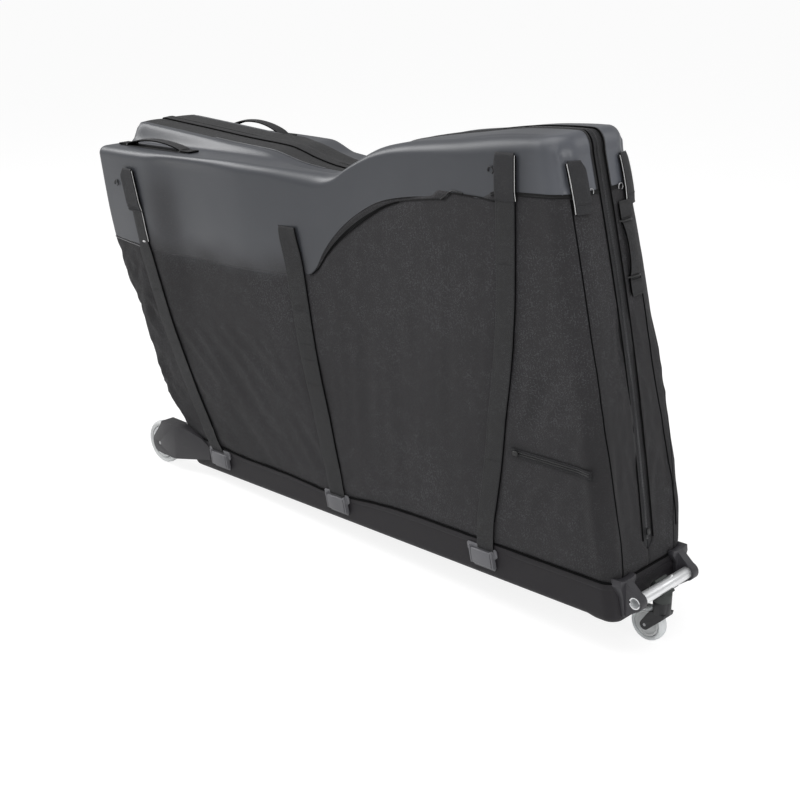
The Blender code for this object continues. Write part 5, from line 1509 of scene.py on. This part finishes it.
def refined(node, name, material, bevel):
    source = nodes[node]
    work = bmesh.new()
    work.from_mesh(source.data)
    work.transform(source.matrix_world)
    bmesh.ops.remove_doubles(work, verts=work.verts, dist=0.00001)
    bmesh.ops.dissolve_limit(work, angle_limit=math.radians(1.0), verts=work.verts, edges=work.edges)
    obj = newPiece(name, work, [material])
    eased = obj.modifiers.new("edges", 'BEVEL')
    eased.width = bevel
    eased.segments = 2
    eased.limit_method = 'ANGLE'
    eased.angle_limit = math.radians(30)
    eased.use_clamp_overlap = True
    applyModifiers(obj)
    bpy.ops.object.shade_smooth_by_angle(angle=math.radians(35))
    return obj


def hangAskew(obj, width):
    # buckles and levers lean; the levers are narrower, for room to swing so
    places = [vert.co.x for vert in obj.data.vertices]
    middle = (min(places) + max(places)) / 2
    for vert in obj.data.vertices:
        vert.co.x = mix(middle, vert.co.x, width) - skew["slope"] * (vert.co.z - skew["level"])


def refineNodes():
    for stem, (piece, material, slot, bevel) in rigid.items():
        for node in sorted(nodes):
            if node == stem or node.startswith(stem + "_"):
                obj = refined(node, piece + node[len(stem):], material, bevel)
                if material == "buckle":
                    hangAskew(obj, skew["leverWidth"] if stem == "lever" else 1.0)
                carry(obj, bodyOf[node], slot, node)


refineNodes()
print("rigid parts refined")


# Foam rest inside, a crowned block with a sewn edge
rest = dict(length=0.149, width=0.109, height=0.089, narrow=0.80, levels=22, around=56, fill=0.75,
            drawnIn=0.035, squareness=0.45, crown=0.30, seamLevel=4)


def makeRest():
    low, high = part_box("frame_rest")
    middle = bagToWorld.inverted() @ ((low + high) / 2)
    rows = []
    for i in range(rest["levels"] + 1):
        share = (1 - math.cos(math.pi * i / rest["levels"])) / 2
        full = max(1 - abs(2 * share - 1) ** 5, 0.002) ** rest["crown"]
        row = []
        for k in range(rest["around"]):
            turn = 2 * math.pi * k / rest["around"]
            c, s = [math.copysign(abs(v) ** rest["squareness"], v) for v in (math.cos(turn), math.sin(turn))]
            reach = full * (1 - rest["drawnIn"] * math.cos(2 * turn) ** 2 * full) / 2
            row.append((middle.x + rest["length"] * reach * c,
                        rest["width"] * reach * s * mix(1.0, rest["narrow"], share),
                        middle.z + rest["height"] * (share - 0.5)))
        rows.append(row)
    obj = sheetPiece("frameRest", rows, far, 0, ["foam"], closed=True, cap="both")
    carry(obj, "base", "foam", "frame_rest")
    for number, level in enumerate((rest["seamLevel"], rest["levels"] - rest["seamLevel"])):
        ring = rows[level] + rows[level][:1]
        tubePiece("restSeam_%d" % number, far, "foam", ring, 0.0011, "thread", "base")


makeRest()
print("foam rest made")


# Studio
studio = dict(floorSize=80, floorTone=(0.86, 0.86, 0.86, 1), glow=1.22, glowShare=0.70, mirrored=0.6,
              ambient=0.42, aim=(0, 0, 0.45), lights=dict(     # place, size, power
                  top=((0.2, -0.6, 3.2), 2.4, 45), left=((-2.4, -1.0, 2.4), 1.6, 56),
                  front=((1.9, 2.2, 2.0), 1.2, 7), fill=((1.6, -2.4, 2.2), 1.0, 9),
                  nose=((2.9, -0.4, 0.7), 0.6, 12)))
view = dict(place=(1.8215, -1.819, 1.259), turn=44.459, down=20.815, focal=61.10, sensor=36.0)


def makeFloor():
    # matt for the light on it, partly aglow for the eye
    bpy.ops.mesh.primitive_plane_add(size=studio["floorSize"], location=(0, 0, 0))
    floor = bpy.context.active_object
    floor.name = "studioFloor"
    material, tree, shader = freshMaterial("paleFloor")
    setShader(shader, Base_Color=studio["floorTone"], Roughness=0.9, Specular_IOR_Level=0.0)
    glow = put(tree, "Emission", Color=(1, 1, 1, 1), Strength=studio["glow"])
    ray = put(tree, "LightPath").outputs
    seen = calc(tree, 'MAXIMUM', ray["Is Camera Ray"], times(tree, ray["Is Glossy Ray"], studio["mirrored"]))
    mixed = put(tree, "MixShader")
    for i, value in enumerate((times(tree, seen, studio["glowShare"]), shader.outputs[0], glow.outputs[0])):
        tree.links.new(value, mixed.inputs[i])
    tree.links.new(mixed.outputs[0], tree.nodes["Material Output"].inputs[0])
    floor.data.materials.append(material)


def makeSky():
    world = bpy.data.worlds.new("studio")
    bpy.context.scene.world = world
    world.use_nodes = True
    back = world.node_tree.nodes["Background"]
    back.inputs[0].default_value = (1, 1, 1, 1)
    rays = put(world.node_tree, "LightPath").outputs
    join(world.node_tree, back.inputs[1],
         ramp(world.node_tree, rays["Is Camera Ray"], 0.0, 1.0, studio["ambient"], 1.0))


def makeLights():
    for name, (place, size, power) in studio["lights"].items():
        light = bpy.data.lights.new(name + "Light", 'AREA')
        light.size = size
        light.energy = power
        lamp = addObject(name + "Light", light)
        lamp.location = place
        lamp.rotation_euler = (Vector(studio["aim"]) - Vector(place)).to_track_quat('-Z', 'Y').to_euler()


def makeCamera():
    camera = bpy.data.cameras.new("photoCamera")
    camera.lens, camera.sensor_width = view["focal"], view["sensor"]
    holder = addObject("photoCamera", camera)
    holder.location = view["place"]
    holder.rotation_euler = (math.radians(90 - view["down"]), 0, math.radians(view["turn"]))
    bpy.context.scene.camera = holder
    bpy.context.scene.view_settings.view_transform = 'Standard'


makeFloor()
makeSky()
makeLights()
makeCamera()
print("studio set")
